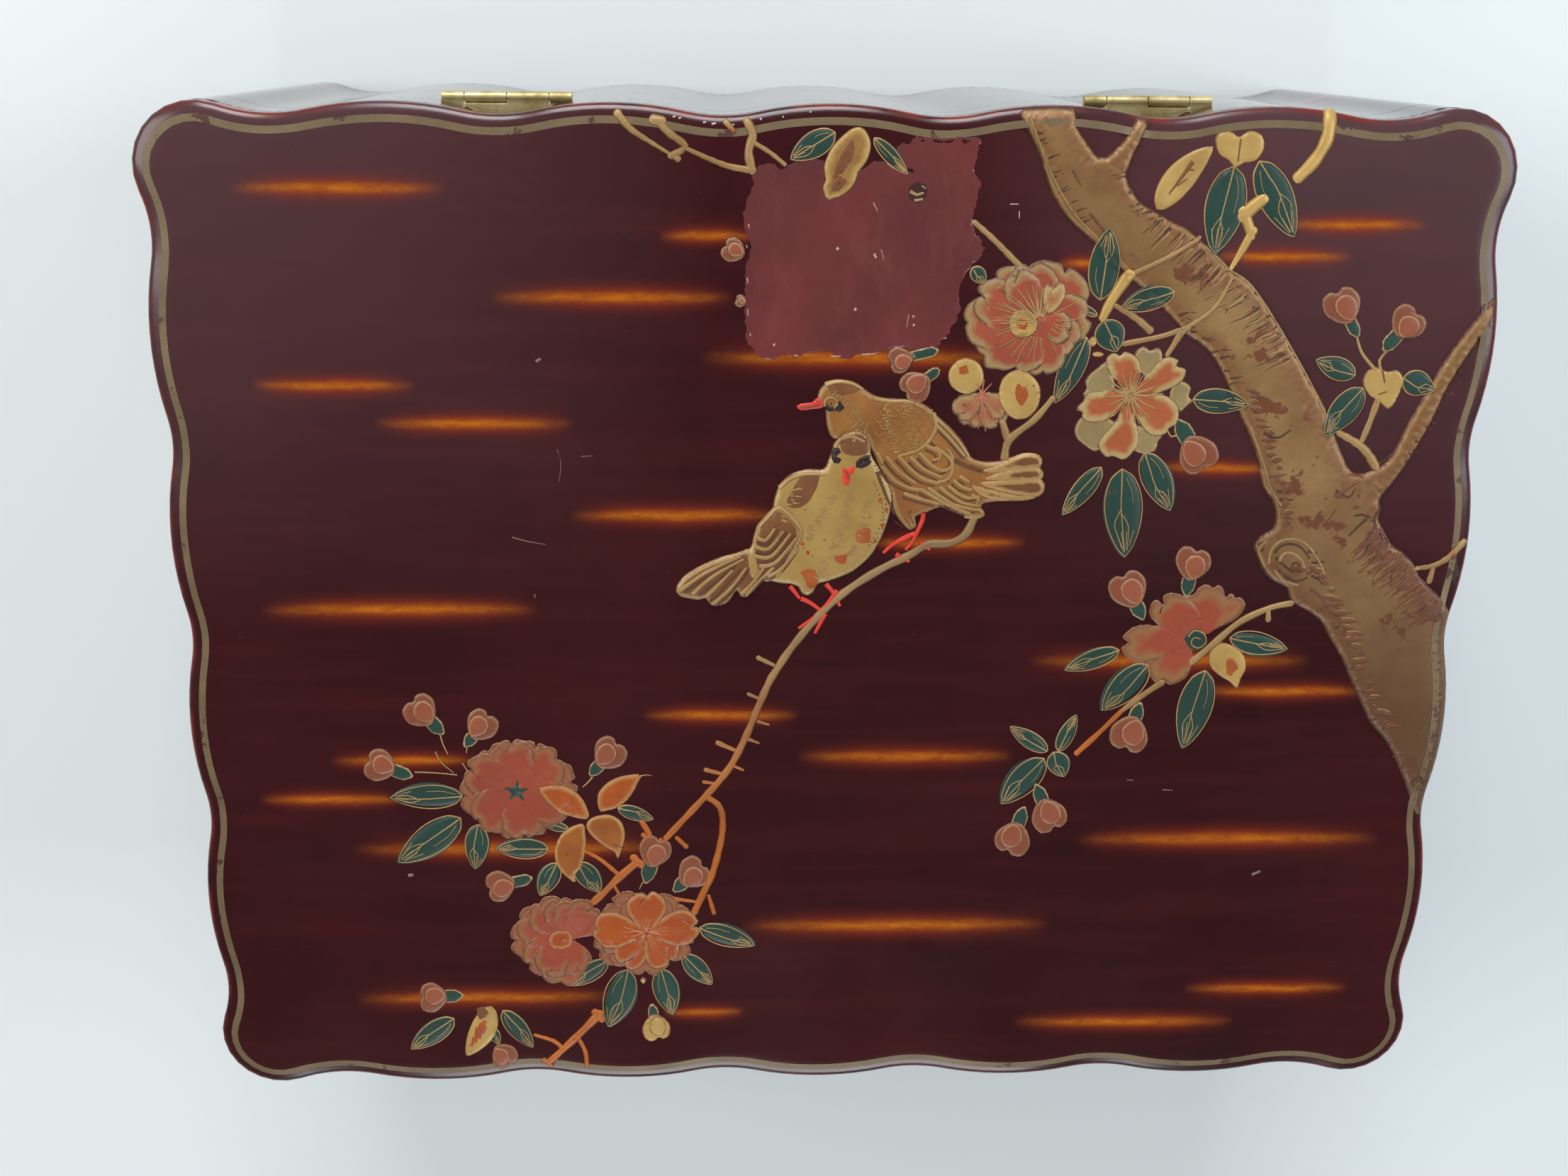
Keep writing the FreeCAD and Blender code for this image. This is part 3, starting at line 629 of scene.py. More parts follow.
def gap_to(line, places):
    """For each place: its distance from a closed line, above zero inside, and the nearest point."""
    run = np.roll(line, -1, 0) - line
    result = []
    for part in np.array_split(places, max(1, len(places) * len(line) // 600000)):
        away = part[:, None] - line
        share = np.clip((away * run).sum(2) / np.maximum((run * run).sum(1), 1e-12), 0, 1)
        offset = away - share[..., None] * run
        size = np.hypot(offset[..., 0], offset[..., 1])
        best = size.argmin(1)
        row = np.arange(len(part))
        side = run[best, 0] * away[row, best, 1] - run[best, 1] * away[row, best, 0]
        size = np.where(side >= 0, size[row, best], -size[row, best])
        result.append(np.column_stack((size, part - offset[row, best])))
    return np.vstack(result)


def lid_height(places):
    """Height of the lid's bare surface, which falls towards its outline."""
    height = np.full(len(places), LID_TOP)
    outer = (np.abs(places[:, 0]) > 0.16) | (np.abs(places[:, 1]) > 0.125)
    if outer.any():
        height[outer] -= fall_at(gap_to(RIM, places[outer])[:, 0])
    return height


def swell_of(gap, rise, shoulder, swell):
    """Height of a raised form at a distance inside its outline."""
    share = np.clip(gap / shoulder, 0, 1)
    wide = np.clip(gap / 0.009, 0, 1)
    return rise * np.sqrt(1 - (1 - share) ** 2) + swell * wide * (2 - wide)


def form_height(places, gap, rise, shoulder, swell, heart=None):
    """Height of one form over what it lies on; petals thin out towards the heart they spring from."""
    height = swell_of(np.maximum(gap, 0), rise, shoulder, swell)
    if heart:
        away = np.hypot(places[:, 0] - heart[0].x, places[:, 1] - heart[0].y)
        height = height * np.clip(away / max(heart[1], 1e-6), 0.25, 1)
    return height


heaped = []


def heap_at(places):
    """Height of all the raised forms laid so far, one over the other, above the bare lid."""
    height = np.zeros(len(places))
    for line, *form in heaped:
        near = np.all((places > line.min(0)) & (places < line.max(0)), axis=1)
        if near.any():
            gap = gap_to(line, places[near])[:, 0]
            height[near] += np.where(gap > 0, form_height(places[near], gap, *form), 0)
    return height


PAINT, SUNK, RIM_GAP = 0.0001, 0.00006, 0.0004


def places_of(shape):
    """The places on the lid of a form's points."""
    return np.array([vert.co.xy[:] for vert in shape.verts])


def lay_on(shape, lift, plump=0.0):
    """Lays a form on what lies under it."""
    places = places_of(shape)
    for vert, level in zip(shape.verts, lid_height(places) + heap_at(places)):
        vert.co.z = level + lift + vert.co.z * plump


def face_up(shape):
    """Turns all faces of a form upwards."""
    bmesh.ops.recalc_face_normals(shape, faces=shape.faces)
    bmesh.ops.reverse_faces(shape, faces=[face for face in shape.faces if face.normal.z < 0])


def built_up(outline, rise, shoulder, cell, swell, heap, ripple, heart=None):
    """One raised form, cut into cells so that it can swell. A heart is a place and its reach."""
    line = np.array([tuple(point) for point in outline])
    if (line[:, 0] * np.roll(line[:, 1], -1) - line[:, 1] * np.roll(line[:, 0], -1)).sum() < 0:
        line = line[::-1].copy()
    outside = gap_to(RIM, line)[:, 0] < RIM_GAP
    if outside.any():
        line[outside] = gap_to(wave_outline(RIM_GAP), line[outside])[:, 1:]
    shape = bmesh.new()
    border = shape.verts.layers.float.new("from_edge")
    shape.faces.new([shape.verts.new((x, y, 0)) for x, y in line])
    shape.normal_update()
    face = shape.faces[:][0]
    for step in range(3 if rise > PAINT else 0):
        bmesh.ops.inset_region(shape, faces=[face], thickness=shoulder / 3, use_even_offset=True)
    shape.normal_update()
    bmesh.ops.triangulate(shape, faces=[face])
    for axis in (0, 1):
        first, last = line[:, axis].min(), line[:, axis].max()
        count = max(2, ceil((last - first) / cell))
        for number in range(1, count):
            point, normal = [0, 0, 0], [0, 0, 0]
            point[axis] = first + (last - first) * number / count
            normal[axis] = 1
            bmesh.ops.bisect_plane(shape, geom=shape.verts[:] + shape.edges[:] + shape.faces[:], dist=1e-7,
                                   plane_co=point, plane_no=normal)
    bmesh.ops.triangulate(shape, faces=[face for face in shape.faces if len(face.verts) > 4])
    places = places_of(shape)
    gap = gap_to(line, places)[:, 0]
    height = lid_height(places) + heap_at(places) + form_height(places, gap, rise, shoulder, swell, heart)
    sunk = SUNK if rise > PAINT else -0.00001
    if ripple:
        height = height + ripple(places, gap)
    for vert, level, distance in zip(shape.verts, height, gap):
        vert.co.z = level if distance > WELD else level - sunk
        vert[border] = max(distance, 0)
        if heart:
            vert[border] += max(0.0, heart[1] - (vert.co.xy - heart[0]).length)
    if heap:
        heaped.append((line, rise, shoulder, swell, heart))
    return shape


def raised(name, forms, material, rise, shoulder, cell=0.001, swell=0.0, heap=True, ripple=None, hearts=()):
    """Raised forms of one finish, each laid over those before it; a swell is a rise of the middle."""
    whole = bmesh.new()
    whole.verts.layers.float.new("from_edge")
    for index, outline in enumerate(forms):
        heart = hearts[index] if hearts else None
        shape = built_up(outline, rise, shoulder, cell, swell, heap, ripple, heart)
        mesh = bpy.data.meshes.new("form")
        shape.to_mesh(mesh)
        shape.free()
        whole.from_mesh(mesh)
        bpy.data.meshes.remove(mesh)
    face_up(whole)
    return new_piece(whole, name, material, "lid")


ROUND_TIP = ((0.9, 0.4), (0.7, 0.75), (0.35, 0.97))


def brush(name, lines, material, lift=0.0001, plump=0.45, step=0.0012, uneven=0.0):
    """Raised brush lines that follow what lies under them: (points, width at start, width at end)."""
    curve = bpy.data.curves.new(name, "CURVE")
    curve.dimensions = "3D"
    curve.bevel_depth = 1.0
    curve.bevel_resolution = 1
    curve.use_fill_caps = True
    for points, first, last in lines:
        points = smooth_line(points, step)
        knots = [(point, (first + (last - first) * index / (len(points) - 1)) / 2
                  * (1 + uneven * sin(index * 1.7 + 900 * point.x)))
                 for index, point in enumerate(points)]
        if uneven:
            for tip, inward, half in ((points[0], points[1], first / 2), (points[-1], points[-2], last / 2)):
                way = (inward - tip).normalized()
                cap = [(tip - way * half * back, half * wide) for back, wide in ROUND_TIP]
                knots = cap + knots if tip is points[0] else knots + cap[::-1]
        spline = curve.splines.new("POLY")
        spline.points.add(len(knots) - 1)
        for knot, (point, half) in zip(spline.points, knots):
            knot.co = (*point, 0.0, 1.0)
            knot.radius = half
    holder = bpy.data.objects.new(name + "_line", curve)
    mesh = bpy.data.meshes.new_from_object(holder)
    bpy.data.objects.remove(holder)
    shape = bmesh.new()
    shape.from_mesh(mesh)
    bpy.data.meshes.remove(mesh)
    lay_on(shape, lift, plump)
    return new_piece(shape, name, material, "lid")


def gold_group():
    """Gold powder on lacquer: its worn places, its cloudiness and its grain."""
    group, given, result = new_group("gold_powder", (
        ("Gold", "IN", "Color"), ("Dark", "IN", "Color"), ("Under", "IN", "Color"), ("Wear", "IN", "Float"),
        ("Size", "IN", "Float"), ("Color", "OUT", "Color"), ("Grain", "OUT", "Float")))
    place = add(group, "TexCoord").outputs["Object"]
    cloud = add(group, "TexNoise", {"Vector": place, "Scale": given["Size"], "Detail": 5.0, "Roughness": 0.6})
    grain = noise(group, place, 1500, 2, 0.6)
    patches = noise(group, place, 130, 4, 0.62)
    share = span(group, cloud.outputs["Fac"], 0.34, 0.68)
    colour = blend(group, share, given["Gold"], given["Dark"])
    level = sums(group, "SUBTRACT", 0.74, given["Wear"])
    bare = span(group, sums(group, "SUBTRACT", patches, level), 0.0, 0.03)
    colour = blend(group, bare, colour, given["Under"])
    speck = span(group, grain, 0.35, 0.7, 0.0, 0.22)
    colour = blend(group, speck, colour, given["Dark"])
    fill(group, result, {"Color": colour, "Grain": grain})
    return group


gold_powder = gold_group()


def gilt(name, gold, dark, under, wear=0.1, size=45.0, rims=(), metallic=0.25, wrinkle=0.0,
         soft=0.25):
    """Gold powder finish from colours in 0 to 255 steps. Each rim is its width and colour."""
    material, tree, shader, place = new_finish(name)
    made = add(tree, "Group", {"Gold": tone(*gold), "Dark": tone(*dark), "Under": tone(*under),
                               "Wear": wear, "Size": size}, node_tree=gold_powder)
    colour = made.outputs["Color"]
    edge = add(tree, "Attribute", attribute_name="from_edge").outputs["Fac"]
    uneven = sums(tree, "SUBTRACT", noise(tree, place, 400, 2), 0.5)
    for width, *tint in rims:
        wavy = sums(tree, "ADD", edge, times(tree, uneven, width))
        share = span(tree, wavy, width * (1 - soft), width * (1 + soft), 1, 0)
        colour = blend(tree, share, colour, tone(*tint))
    height = made.outputs["Grain"]
    if wrinkle:
        wrinkles = noise(tree, place, 260, 4, 0.6, (0.5, 1.4, 1.0))
        height = sums(tree, "ADD", times(tree, height, 0.15), times(tree, wrinkles, wrinkle))
    roughen(tree, shader, height, 0.35, 0.00015)
    fill(tree, shader, {"Base Color": colour, "Metallic": metallic, "Roughness": 0.46})
    return material


# ---- Lost lacquer ----
# A jagged patch behind the hinges where the top coats have flaked off down to the dull
# red-brown ground, with brush marks and a broken edge.

ground_coat, tree, shader, place = new_finish("ground_coat")
brush_marks = noise(tree, place, 75, 5, 0.68, (1.5, 0.7, 1.0))
spots = noise(tree, place, 34, 4, 0.55)
colour = blend(tree, span(tree, spots, 0.3, 0.7), tone(101, 37, 36), tone(80, 29, 30))
colour = blend(tree, span(tree, brush_marks, 0.5, 0.72, 0, 0.45), colour, tone(112, 54, 52))
height = sums(tree, "ADD", brush_marks, times(tree, spots, 1.4))
roughen(tree, shader, height, 0.8, 0.0006)
fill(tree, shader, {"Base Color": colour, "Roughness": 0.44})

PATCH = ((1059, 249), (1070, 233), (1090, 230), (1120, 231), (1158, 230), (1190, 236), (1212, 232),
    (1233, 228), (1250, 234), (1272, 245), (1285, 246), (1267, 222), (1265, 213), (1284, 203), (1292, 192),
    (1319, 190), (1354, 190), (1377, 197), (1380, 217), (1377, 240), (1379, 266), (1376, 293), (1375, 316),
    (1380, 343), (1386, 358), (1373, 377), (1357, 400), (1350, 431), (1342, 458), (1331, 481), (1300, 492),
    (1243, 496), (1166, 501), (1105, 500), (1056, 498), (1051, 477), (1057, 454), (1051, 423), (1053, 385),
    (1055, 354), (1052, 331), (1055, 301), (1061, 274))
pick = random.Random(3)


def wander(x, y, z):
    """A smooth wandering value between -1 and 1."""
    return sin(2.1 * x + 1.3 * z) * cos(1.7 * y - z) + 0.6 * sin(4.3 * x - 3.1 * y + 2 * z)


RAGGED, CRUMBLED = 0.0009, 0.00038
rough_edge = []
for point in smooth_line(marks(*PATCH), 0.0008, True):
    ragged = Vector((wander(150 * point.x, 150 * point.y, 1), wander(150 * point.x, 150 * point.y, 7)))
    crumb = Vector((pick.uniform(-1, 1), pick.uniform(-1, 1)))
    rough_edge.append(point + ragged * RAGGED + crumb * CRUMBLED)
raised("lost_lacquer", [rough_edge], ground_coat, rise=0.00003, shoulder=0.0003, cell=0.004, heap=False)
broken_edge = gilt("broken_edge", (74, 24, 28), (96, 60, 62), (150, 118, 118), 0.2, 300, metallic=0)
closed_edge = rough_edge + rough_edge[:1]
crumbs = [(closed_edge[start:start + pick.randint(4, 13)], 0.00035, 0.00012)
          for start in range(0, len(closed_edge) - 14, 14)]
brush("lost_lacquer_edge", crumbs, broken_edge, lift=0.00003, plump=0.4, step=0.01)

# ---- Tree trunk ----
# An old trunk in brown-gold powder that rises highest of all, with a forked branch, a burl,
# rough bark dashes along its sides, and its foot running off the right edge.

TRUNK = ((1441, 146), (1452, 190), (1465, 217), (1480, 265), (1505, 308), (1545, 345), (1585, 385),
    (1633, 428), (1669, 468), (1702, 494), (1724, 530), (1747, 584), (1764, 622), (1774, 654), (1779, 684),
    (1793, 705), (1798, 724), (1796, 744), (1778, 756), (1768, 771), (1774, 789), (1782, 807), (1796, 820),
    (1814, 829), (1820, 847), (1844, 862), (1862, 876), (1876, 902), (1891, 927), (1903, 956), (1916, 985),
    (1933, 1020), (1955, 1046), (1972, 1081), (1992, 1133), (2001, 1152), (2022, 1140), (2032, 1090),
    (2040, 1000), (2048, 930), (2054, 878), (2045, 862), (2033, 843), (2018, 829), (2002, 811), (1993, 793),
    (1978, 778), (1963, 767), (1953, 749), (1945, 731), (1949, 718), (1947, 704), (1963, 684), (1982, 658),
    (2002, 626), (2020, 594), (2038, 556), (2055, 526), (2082, 486), (2106, 452), (2111, 420), (2096, 434),
    (2072, 462), (2036, 511), (2006, 562), (1984, 600), (1966, 636), (1950, 655), (1923, 667), (1905, 662),
    (1894, 640), (1883, 612), (1868, 570), (1850, 538), (1828, 498), (1805, 457), (1782, 421), (1760, 394),
    (1737, 380), (1723, 362), (1696, 339), (1674, 321), (1651, 310), (1628, 296), (1610, 285), (1597, 267),
    (1590, 249), (1597, 226), (1610, 199), (1624, 168), (1618, 146), (1601, 172), (1583, 199), (1560, 221),
    (1550, 221), (1533, 199), (1520, 178), (1512, 146))
# The brown band and dark outer rim are the bark's darker edge and also painted shade on the trunk's sloping
# sides.
bark = gilt("bark_gold", (154, 122, 76), (114, 80, 44), (106, 58, 34), 0.14, 34, ((0.0042, 122, 84, 48),
    (0.0013, 150, 116, 72), (0.0006, 84, 46, 28)), 0.25, 0.9, 0.5)


BARK_ROUGHNESS = 0.00022


def bark_ripple(places, gap):
    """Rough bark beside the trunk's outline."""
    beside = np.clip(1 - np.abs(gap - 0.0025) / 0.003, 0, 1)
    x, y = places.T
    wave = np.sin(y * 2600 + 3 * np.sin(x * 900)) * np.sin(x * 700 + y * 500)
    return BARK_ROUGHNESS * beside * wave


shader, tree = bark.node_tree.nodes["Principled BSDF"], bark.node_tree
foot = add(tree, "SeparateXYZ", {0: add(tree, "TexCoord").outputs["Object"]}).outputs["Y"]
darker = times(tree, span(tree, foot, 0.06, -0.03), 0.78)
under = shader.inputs["Base Color"].links[0].from_socket
fill(tree, shader, {"Base Color": blend(tree, darker, under, tone(84, 52, 34))})
raised("trunk", outlines(TRUNK, step=0.0014), bark, rise=0.00085, shoulder=0.0015, cell=0.0015, swell=0.0006,
       ripple=bark_ripple)
dark_bark = gilt("bark_shadow", (84, 50, 30), (62, 34, 22), (60, 26, 18), 0.1, 200, metallic=0.1)
# Pale bark, for the trunk's pale swirls and for painted highlights on each ridge top.
bark_pale_and_highlight = gilt("bark_light", (160, 128, 84), (132, 100, 62), (120, 76, 46), 0.1, 200)


def dashes(path, count, inwards, length, width, seed):
    """Short brush dashes that stand on a path and point to one side of it, both in pixels."""
    pick = random.Random(seed)
    line = smooth_line(marks(*path), 0.0008)
    side = (on_lid(*inwards) - line[len(line) // 2]).normalized()
    result = []
    for index in range(count):
        foot = line[min(len(line) - 1, int((index + pick.uniform(0.1, 0.9)) / count * len(line)))]
        reach = length * pick.uniform(0.45, 1.0)
        start = foot + side * pick.uniform(0.0002, 0.0022)
        bend = Vector((-side.y, side.x)) * pick.uniform(-0.0005, 0.0005)
        result.append(([start, start + side * reach * 0.5 + bend, start + side * reach],
                       width * pick.uniform(0.7, 1.9), width * 0.25))
    return result


def strokes(first, last, *paths):
    """Brush lines of one width from pixels of the photograph."""
    return [(marks(*path), first, last) for path in paths]


bark_lines = []
for path, count, inwards, length, width, seed in (
        (((1822, 856), (1866, 880), (1894, 930), (1930, 1014), (1962, 1070), (1984, 1115)), 14, (1960, 940),
         0.003, 0.0004, 1),
        (((1640, 300), (1690, 336), (1735, 380)), 15, (1640, 390), 0.0085, 0.00045, 3),
        (((1745, 392), (1790, 440), (1826, 500)), 18, (1720, 480), 0.009, 0.0004, 4),
        (((1650, 444), (1700, 494), (1730, 545)), 12, (1770, 480), 0.0055, 0.0005, 5),
        (((1955, 752), (1990, 790), (2030, 842)), 12, (1920, 860), 0.004, 0.0005, 6),
        (((1455, 190), (1482, 264), (1520, 318)), 12, (1540, 240), 0.004, 0.0006, 7),
        (((1590, 240), (1602, 274), (1650, 308)), 10, (1550, 300), 0.004, 0.0005, 8),
        (((1975, 650), (2040, 545), (2096, 450)), 16, (2060, 560), 0.0022, 0.0005, 9)):
    bark_lines += dashes(path, count, inwards, length, width, seed)
pick = random.Random(12)
notch_shade, ridge_highlights = [], []
# Bark notch marks: dark strokes are painted shade in each notch and under its lip, pale strokes above are
# painted highlights.
for path, gap, reach in (
        (((1766, 552), (1778, 590), (1792, 630), (1803, 670), (1810, 710), (1814, 742)), 0.0021, 8),
        (((1862, 812), (1878, 842), (1896, 875), (1910, 910), (1924, 950), (1940, 992), (1954, 1022)),
         0.0023, 11),
        (((1840, 800), (1862, 806)), 0.0018, 6)):
    for place in smooth_line(marks(*path), gap):
        middle = place + Vector((pick.uniform(-0.0008, 0.0008), pick.uniform(-0.0004, 0.0004)))
        half = Vector((reach * pixel * pick.uniform(0.4, 1.25), pick.uniform(-0.0005, 0.0003)))
        up = Vector((pick.uniform(-0.0003, 0.0003), 0.0008))
        deep = pick.uniform(0.0009, 0.0018)
        notch_shade += [([middle - half * 1.3, middle], 0.0003, deep),
                    ([middle + half * 1.5, middle], 0.0002, deep)]
        if pick.random() < 0.7:
            line = [middle - half * 0.5 - up * 0.2, middle + half * 0.6 - up * 0.3]
            bark_lines.append((line, 0.0005, 0.0003))
        if pick.random() < 0.5:
            line = [middle - half * 0.7 + up, middle + up * 1.3, middle + half * 0.8 + up]
            ridge_highlights.append((line, 0.0005, 0.0003))
fur = dashes(((1944, 742), (1966, 772), (1992, 795), (2036, 852)), 54, (1925, 850), 0.0105, 0.0009, 41)
bark_lines += dashes(((1938, 744), (1960, 776), (1986, 806), (2024, 862)), 34, (1925, 850), 0.006, 0.00035,
    42)
bark_lines += strokes(0.0008, 0.0005, ((1796, 778), (1803, 769), (1818, 765), (1834, 771), (1845, 786)),
    ((1798, 784), (1812, 798), (1822, 804), (1836, 802)), ((1802, 802), (1812, 812), (1828, 818),
    (1842, 812)), ((1820, 794), (1827, 791), (1832, 796)), ((1773, 768), (1779, 764), (1780, 774),
    (1774, 778)), ((1782, 800), (1790, 812), (1804, 822)), ((1842, 776), (1856, 778)), ((1848, 792),
    (1866, 790)), ((1850, 800), (1868, 802)), ((1848, 810), (1860, 816)), ((1940, 738), (1932, 760),
    (1918, 784)), ((1948, 746), (1946, 766), (1934, 788)), ((1926, 730), (1912, 742), (1900, 754)),
    ((1958, 775), (1963, 798), (1958, 816)), ((1932, 728), (1918, 724), (1908, 726)), ((1800, 691),
    (1812, 693)), ((1800, 704), (1822, 703)), ((1812, 728), (1820, 731)), ((1936, 660), (1952, 650),
    (1964, 640)), ((1934, 735), (1944, 716), (1944, 706), (1958, 686)), ((1925, 760), (1936, 745),
    (1938, 730)), ((1882, 690), (1900, 700), (1908, 690)), ((1780, 611), (1800, 616), (1818, 605)))
brush("bark_dashes", bark_lines, dark_bark, lift=0.00002, plump=0.15)
rusty = [(marks(*path), width * pixel, width * 0.6 * pixel) for path, width in ((((1882, 700), (1894, 690),
    (1910, 680)), 7), (((1880, 696), (1896, 700)), 6), (((1536, 300), (1560, 330)), 4), (((1600, 430),
    (1620, 436), (1640, 428)), 4), (((1512, 240), (1524, 262)), 3), (((1900, 668), (1922, 672)), 4),
    (((1862, 740), (1874, 728), (1882, 716)), 3), (((1655, 352), (1668, 350)), 4), (((1946, 742),
    (1962, 770)), 5), (((1975, 782), (2010, 828), (2034, 852)), 6), (((1846, 828), (1866, 846), (1880, 874)),
    5))]
# Reddish bark, with painted shade in each notch and fine dark strokes.
brush("rusty_bark_and_notch_shade", rusty + notch_shade + fur, gilt("rusty_bark_and_notch_shade", (106, 62, 38), (92, 52, 32), (84, 40, 28), 0.1,
    200, metallic=0), lift=0.00003, plump=0.12)
# Pale swirls in the bark, and painted highlights on the lip above each notch and between the dark dashes.
brush("bark_pale_marks_and_highlights", strokes(0.001, 0.0006, ((1788, 794), (1791, 776), (1804, 762), (1826, 759), (1843, 768),
    (1856, 786), (1866, 806)), ((1803, 790), (1808, 780), (1820, 778), (1834, 788), (1838, 800)),
    ((1796, 802), (1808, 817), (1830, 824))) + ridge_highlights + dashes(((1640, 306), (1690, 342), (1735, 386)), 12,
    (1640, 396), 0.008, 0.0006, 26) + dashes(((1745, 398), (1790, 446), (1826, 506)), 14, (1720, 486),
    0.0085, 0.0006, 27) + strokes(0.0007, 0.0005, ((1453, 165), (1480, 240), (1514, 300), (1552, 340),
    (1598, 386)), ((1762, 600), (1783, 660), (1790, 686), (1806, 712)), ((1700, 348), (1732, 378),
    (1764, 402), (1800, 456), (1846, 536), (1880, 612)), ((1786, 762), (1774, 774), (1784, 800),
    (1800, 818))), bark_pale_and_highlight, lift=0.00004, plump=0.25)

# ---- Gold border line ----
# One brushed gold line that follows the waves on the falling border, and crosses the trunk's foot.

border_gold = gilt("border_gold", (116, 98, 70), (94, 78, 54), (70, 40, 34), 0.12, 60, metallic=0.2)
LINE_OUTSIDE, LINE_INSIDE, LINE_RISE = 0.0031, 0.005, 0.00006
shape = bmesh.new()
number, verts = numbered_ring(shape)
outer, inner = wave_outline(LINE_OUTSIDE), wave_outline(LINE_INSIDE)
grown = bmesh.ops.extrude_edge_only(shape, edges=shape.edges[:])["geom"]
for vert in shape.verts:
    ring = inner if vert in grown else outer
    sway = 0.0001 * sin(vert[number] * 0.31) + 0.00008 * sin(vert[number] * 0.83)
    vert.co = Vector((*ring[vert[number]], 0)) * (1 + sway * 4)
lay_on(shape, LINE_RISE)
face_up(shape)
new_piece(shape, "border_line", border_gold, "lid")

# ---- Twigs ----
# Gold twigs laid in one stroke each, warmer and redder towards their ends, with thorns and spurs.

twig_gold = gilt("twig_gold", (164, 132, 86), (136, 102, 60), (150, 78, 40), 0.08, 60, metallic=0.25)
twig_orange = gilt("twig_orange", (178, 98, 30), (150, 76, 24), (126, 56, 22), 0.08, 60, metallic=0.1)
gold_twigs = (((871, 160), (884, 176), (898, 188), (948, 219), 12, 4), ((923, 169), (934, 170), 16, 12),
    ((929, 170), (942, 186), (967, 205), (962, 212), (946, 220), 12, 9), ((948, 219), (956, 224), 7, 10),
    ((967, 209), (1005, 226), (1030, 235), (1059, 240), 6, 10), ((1054, 172), (1062, 190), (1056, 215),
    (1061, 240), 12, 13), ((1063, 201), (1086, 215), (1107, 232), 7, 6), ((1024, 172), (1034, 184), 9, 7),
    ((1375, 314), (1403, 339), (1444, 381), 8, 10), ((1575, 432), (1604, 450), (1622, 466), 8, 12),
    ((1674, 462), (1640, 474), (1586, 485), 9, 8), ((1668, 466), (1656, 486), (1647, 500), 11, 8),
    ((1600, 384), (1650, 360), (1692, 335), 8, 6), ((1672, 462), (1710, 434), (1736, 392), 8, 5),
    ((1485, 562), (1459, 592), (1424, 620), (1417, 646), 9, 13), ((1415, 598), (1421, 620), 11, 12),
    ((1943, 566), (1932, 596), (1921, 622), 11, 9), ((1889, 611), (1912, 624), (1927, 637), (1939, 656), 10,
    15), ((1994, 802), (2022, 798), (2044, 786), (2066, 766), 7, 12), ((2022, 800), (2016, 820), 8, 9),
    ((1821, 851), (1790, 858), (1748, 878), (1712, 908), (1682, 933), 10, 12), ((1789, 858), (1789, 874), 8,
    9), ((1638, 963), (1610, 982), (1582, 1003), 12, 8))
orange_twigs = (((1582, 1003), (1550, 1034), (1519, 1062), 8, 10), ((826, 1201), (848, 1213), (874, 1235), 6,
    8), ((899, 1216), (872, 1239), (842, 1270), 15, 10), ((866, 1249), (874, 1262), 6, 5), ((755, 1460),
    (781, 1468), (791, 1476), 6, 8), ((846, 1430), (816, 1460), (773, 1500), 15, 11), ((817, 1466),
    (826, 1484), (828, 1503), 7, 8), ((840, 1428), (849, 1438), 14, 12), ((894, 1210), (904, 1219), 13, 14),
    ((846, 1262), (838, 1272), 10, 12), ((768, 1496), (778, 1505), 10, 8), ((908, 1178), (926, 1192),
    (932, 1184), 9, 6), ((906, 1160), (916, 1176), 10, 9))


def twig_lines(twigs):
    """Brush lines from rows of pixels, each with its widths at start and end in pixels."""
    return [(marks(*path), first * pixel, last * pixel) for *path, first, last in twigs]


brush("twigs_gold", twig_lines(gold_twigs), twig_gold, lift=0.0001, plump=0.35, uneven=0.1)
# Twigs nearest the hinge side in brighter gold: painted highlights on the gold.
twig_gold_highlight = gilt("twig_gold_highlight", (200, 166, 98), (176, 140, 76), (150, 100, 50), 0.05, 60, metallic=0.3)
brush("twigs_highlighted", twig_lines((((1878, 163), (1872, 196), (1855, 226), (1832, 250), 20, 18), ((1592, 388),
    (1568, 424), (1556, 448), 18, 13), ((1781, 282), (1770, 290), (1754, 304), 20, 20), ((1754, 300),
    (1762, 320), (1765, 334), 20, 12), ((1767, 326), (1754, 350), (1737, 378), 15, 7))), twig_gold_highlight,
      lift=0.0001, plump=0.35, uneven=0.06)
brush("twigs_orange", twig_lines(orange_twigs), twig_orange, lift=0.0001, plump=0.35, uneven=0.1)
perch, tree, shader, place = new_finish("perch_gold")
parts = add(tree, "SeparateXYZ", {0: place}).outputs
cloud = span(tree, noise(tree, place, 70, 4), 0.35, 0.7)
pale = blend(tree, cloud, tone(148, 120, 80), tone(124, 96, 60))
warm = blend(tree, cloud, tone(172, 94, 28), tone(146, 76, 22))
colour = blend(tree, span(tree, parts["Y"], -0.055, 0.0), warm, pale)
fill(tree, shader, {"Base Color": colour, "Roughness": 0.5, "Metallic": 0.15})
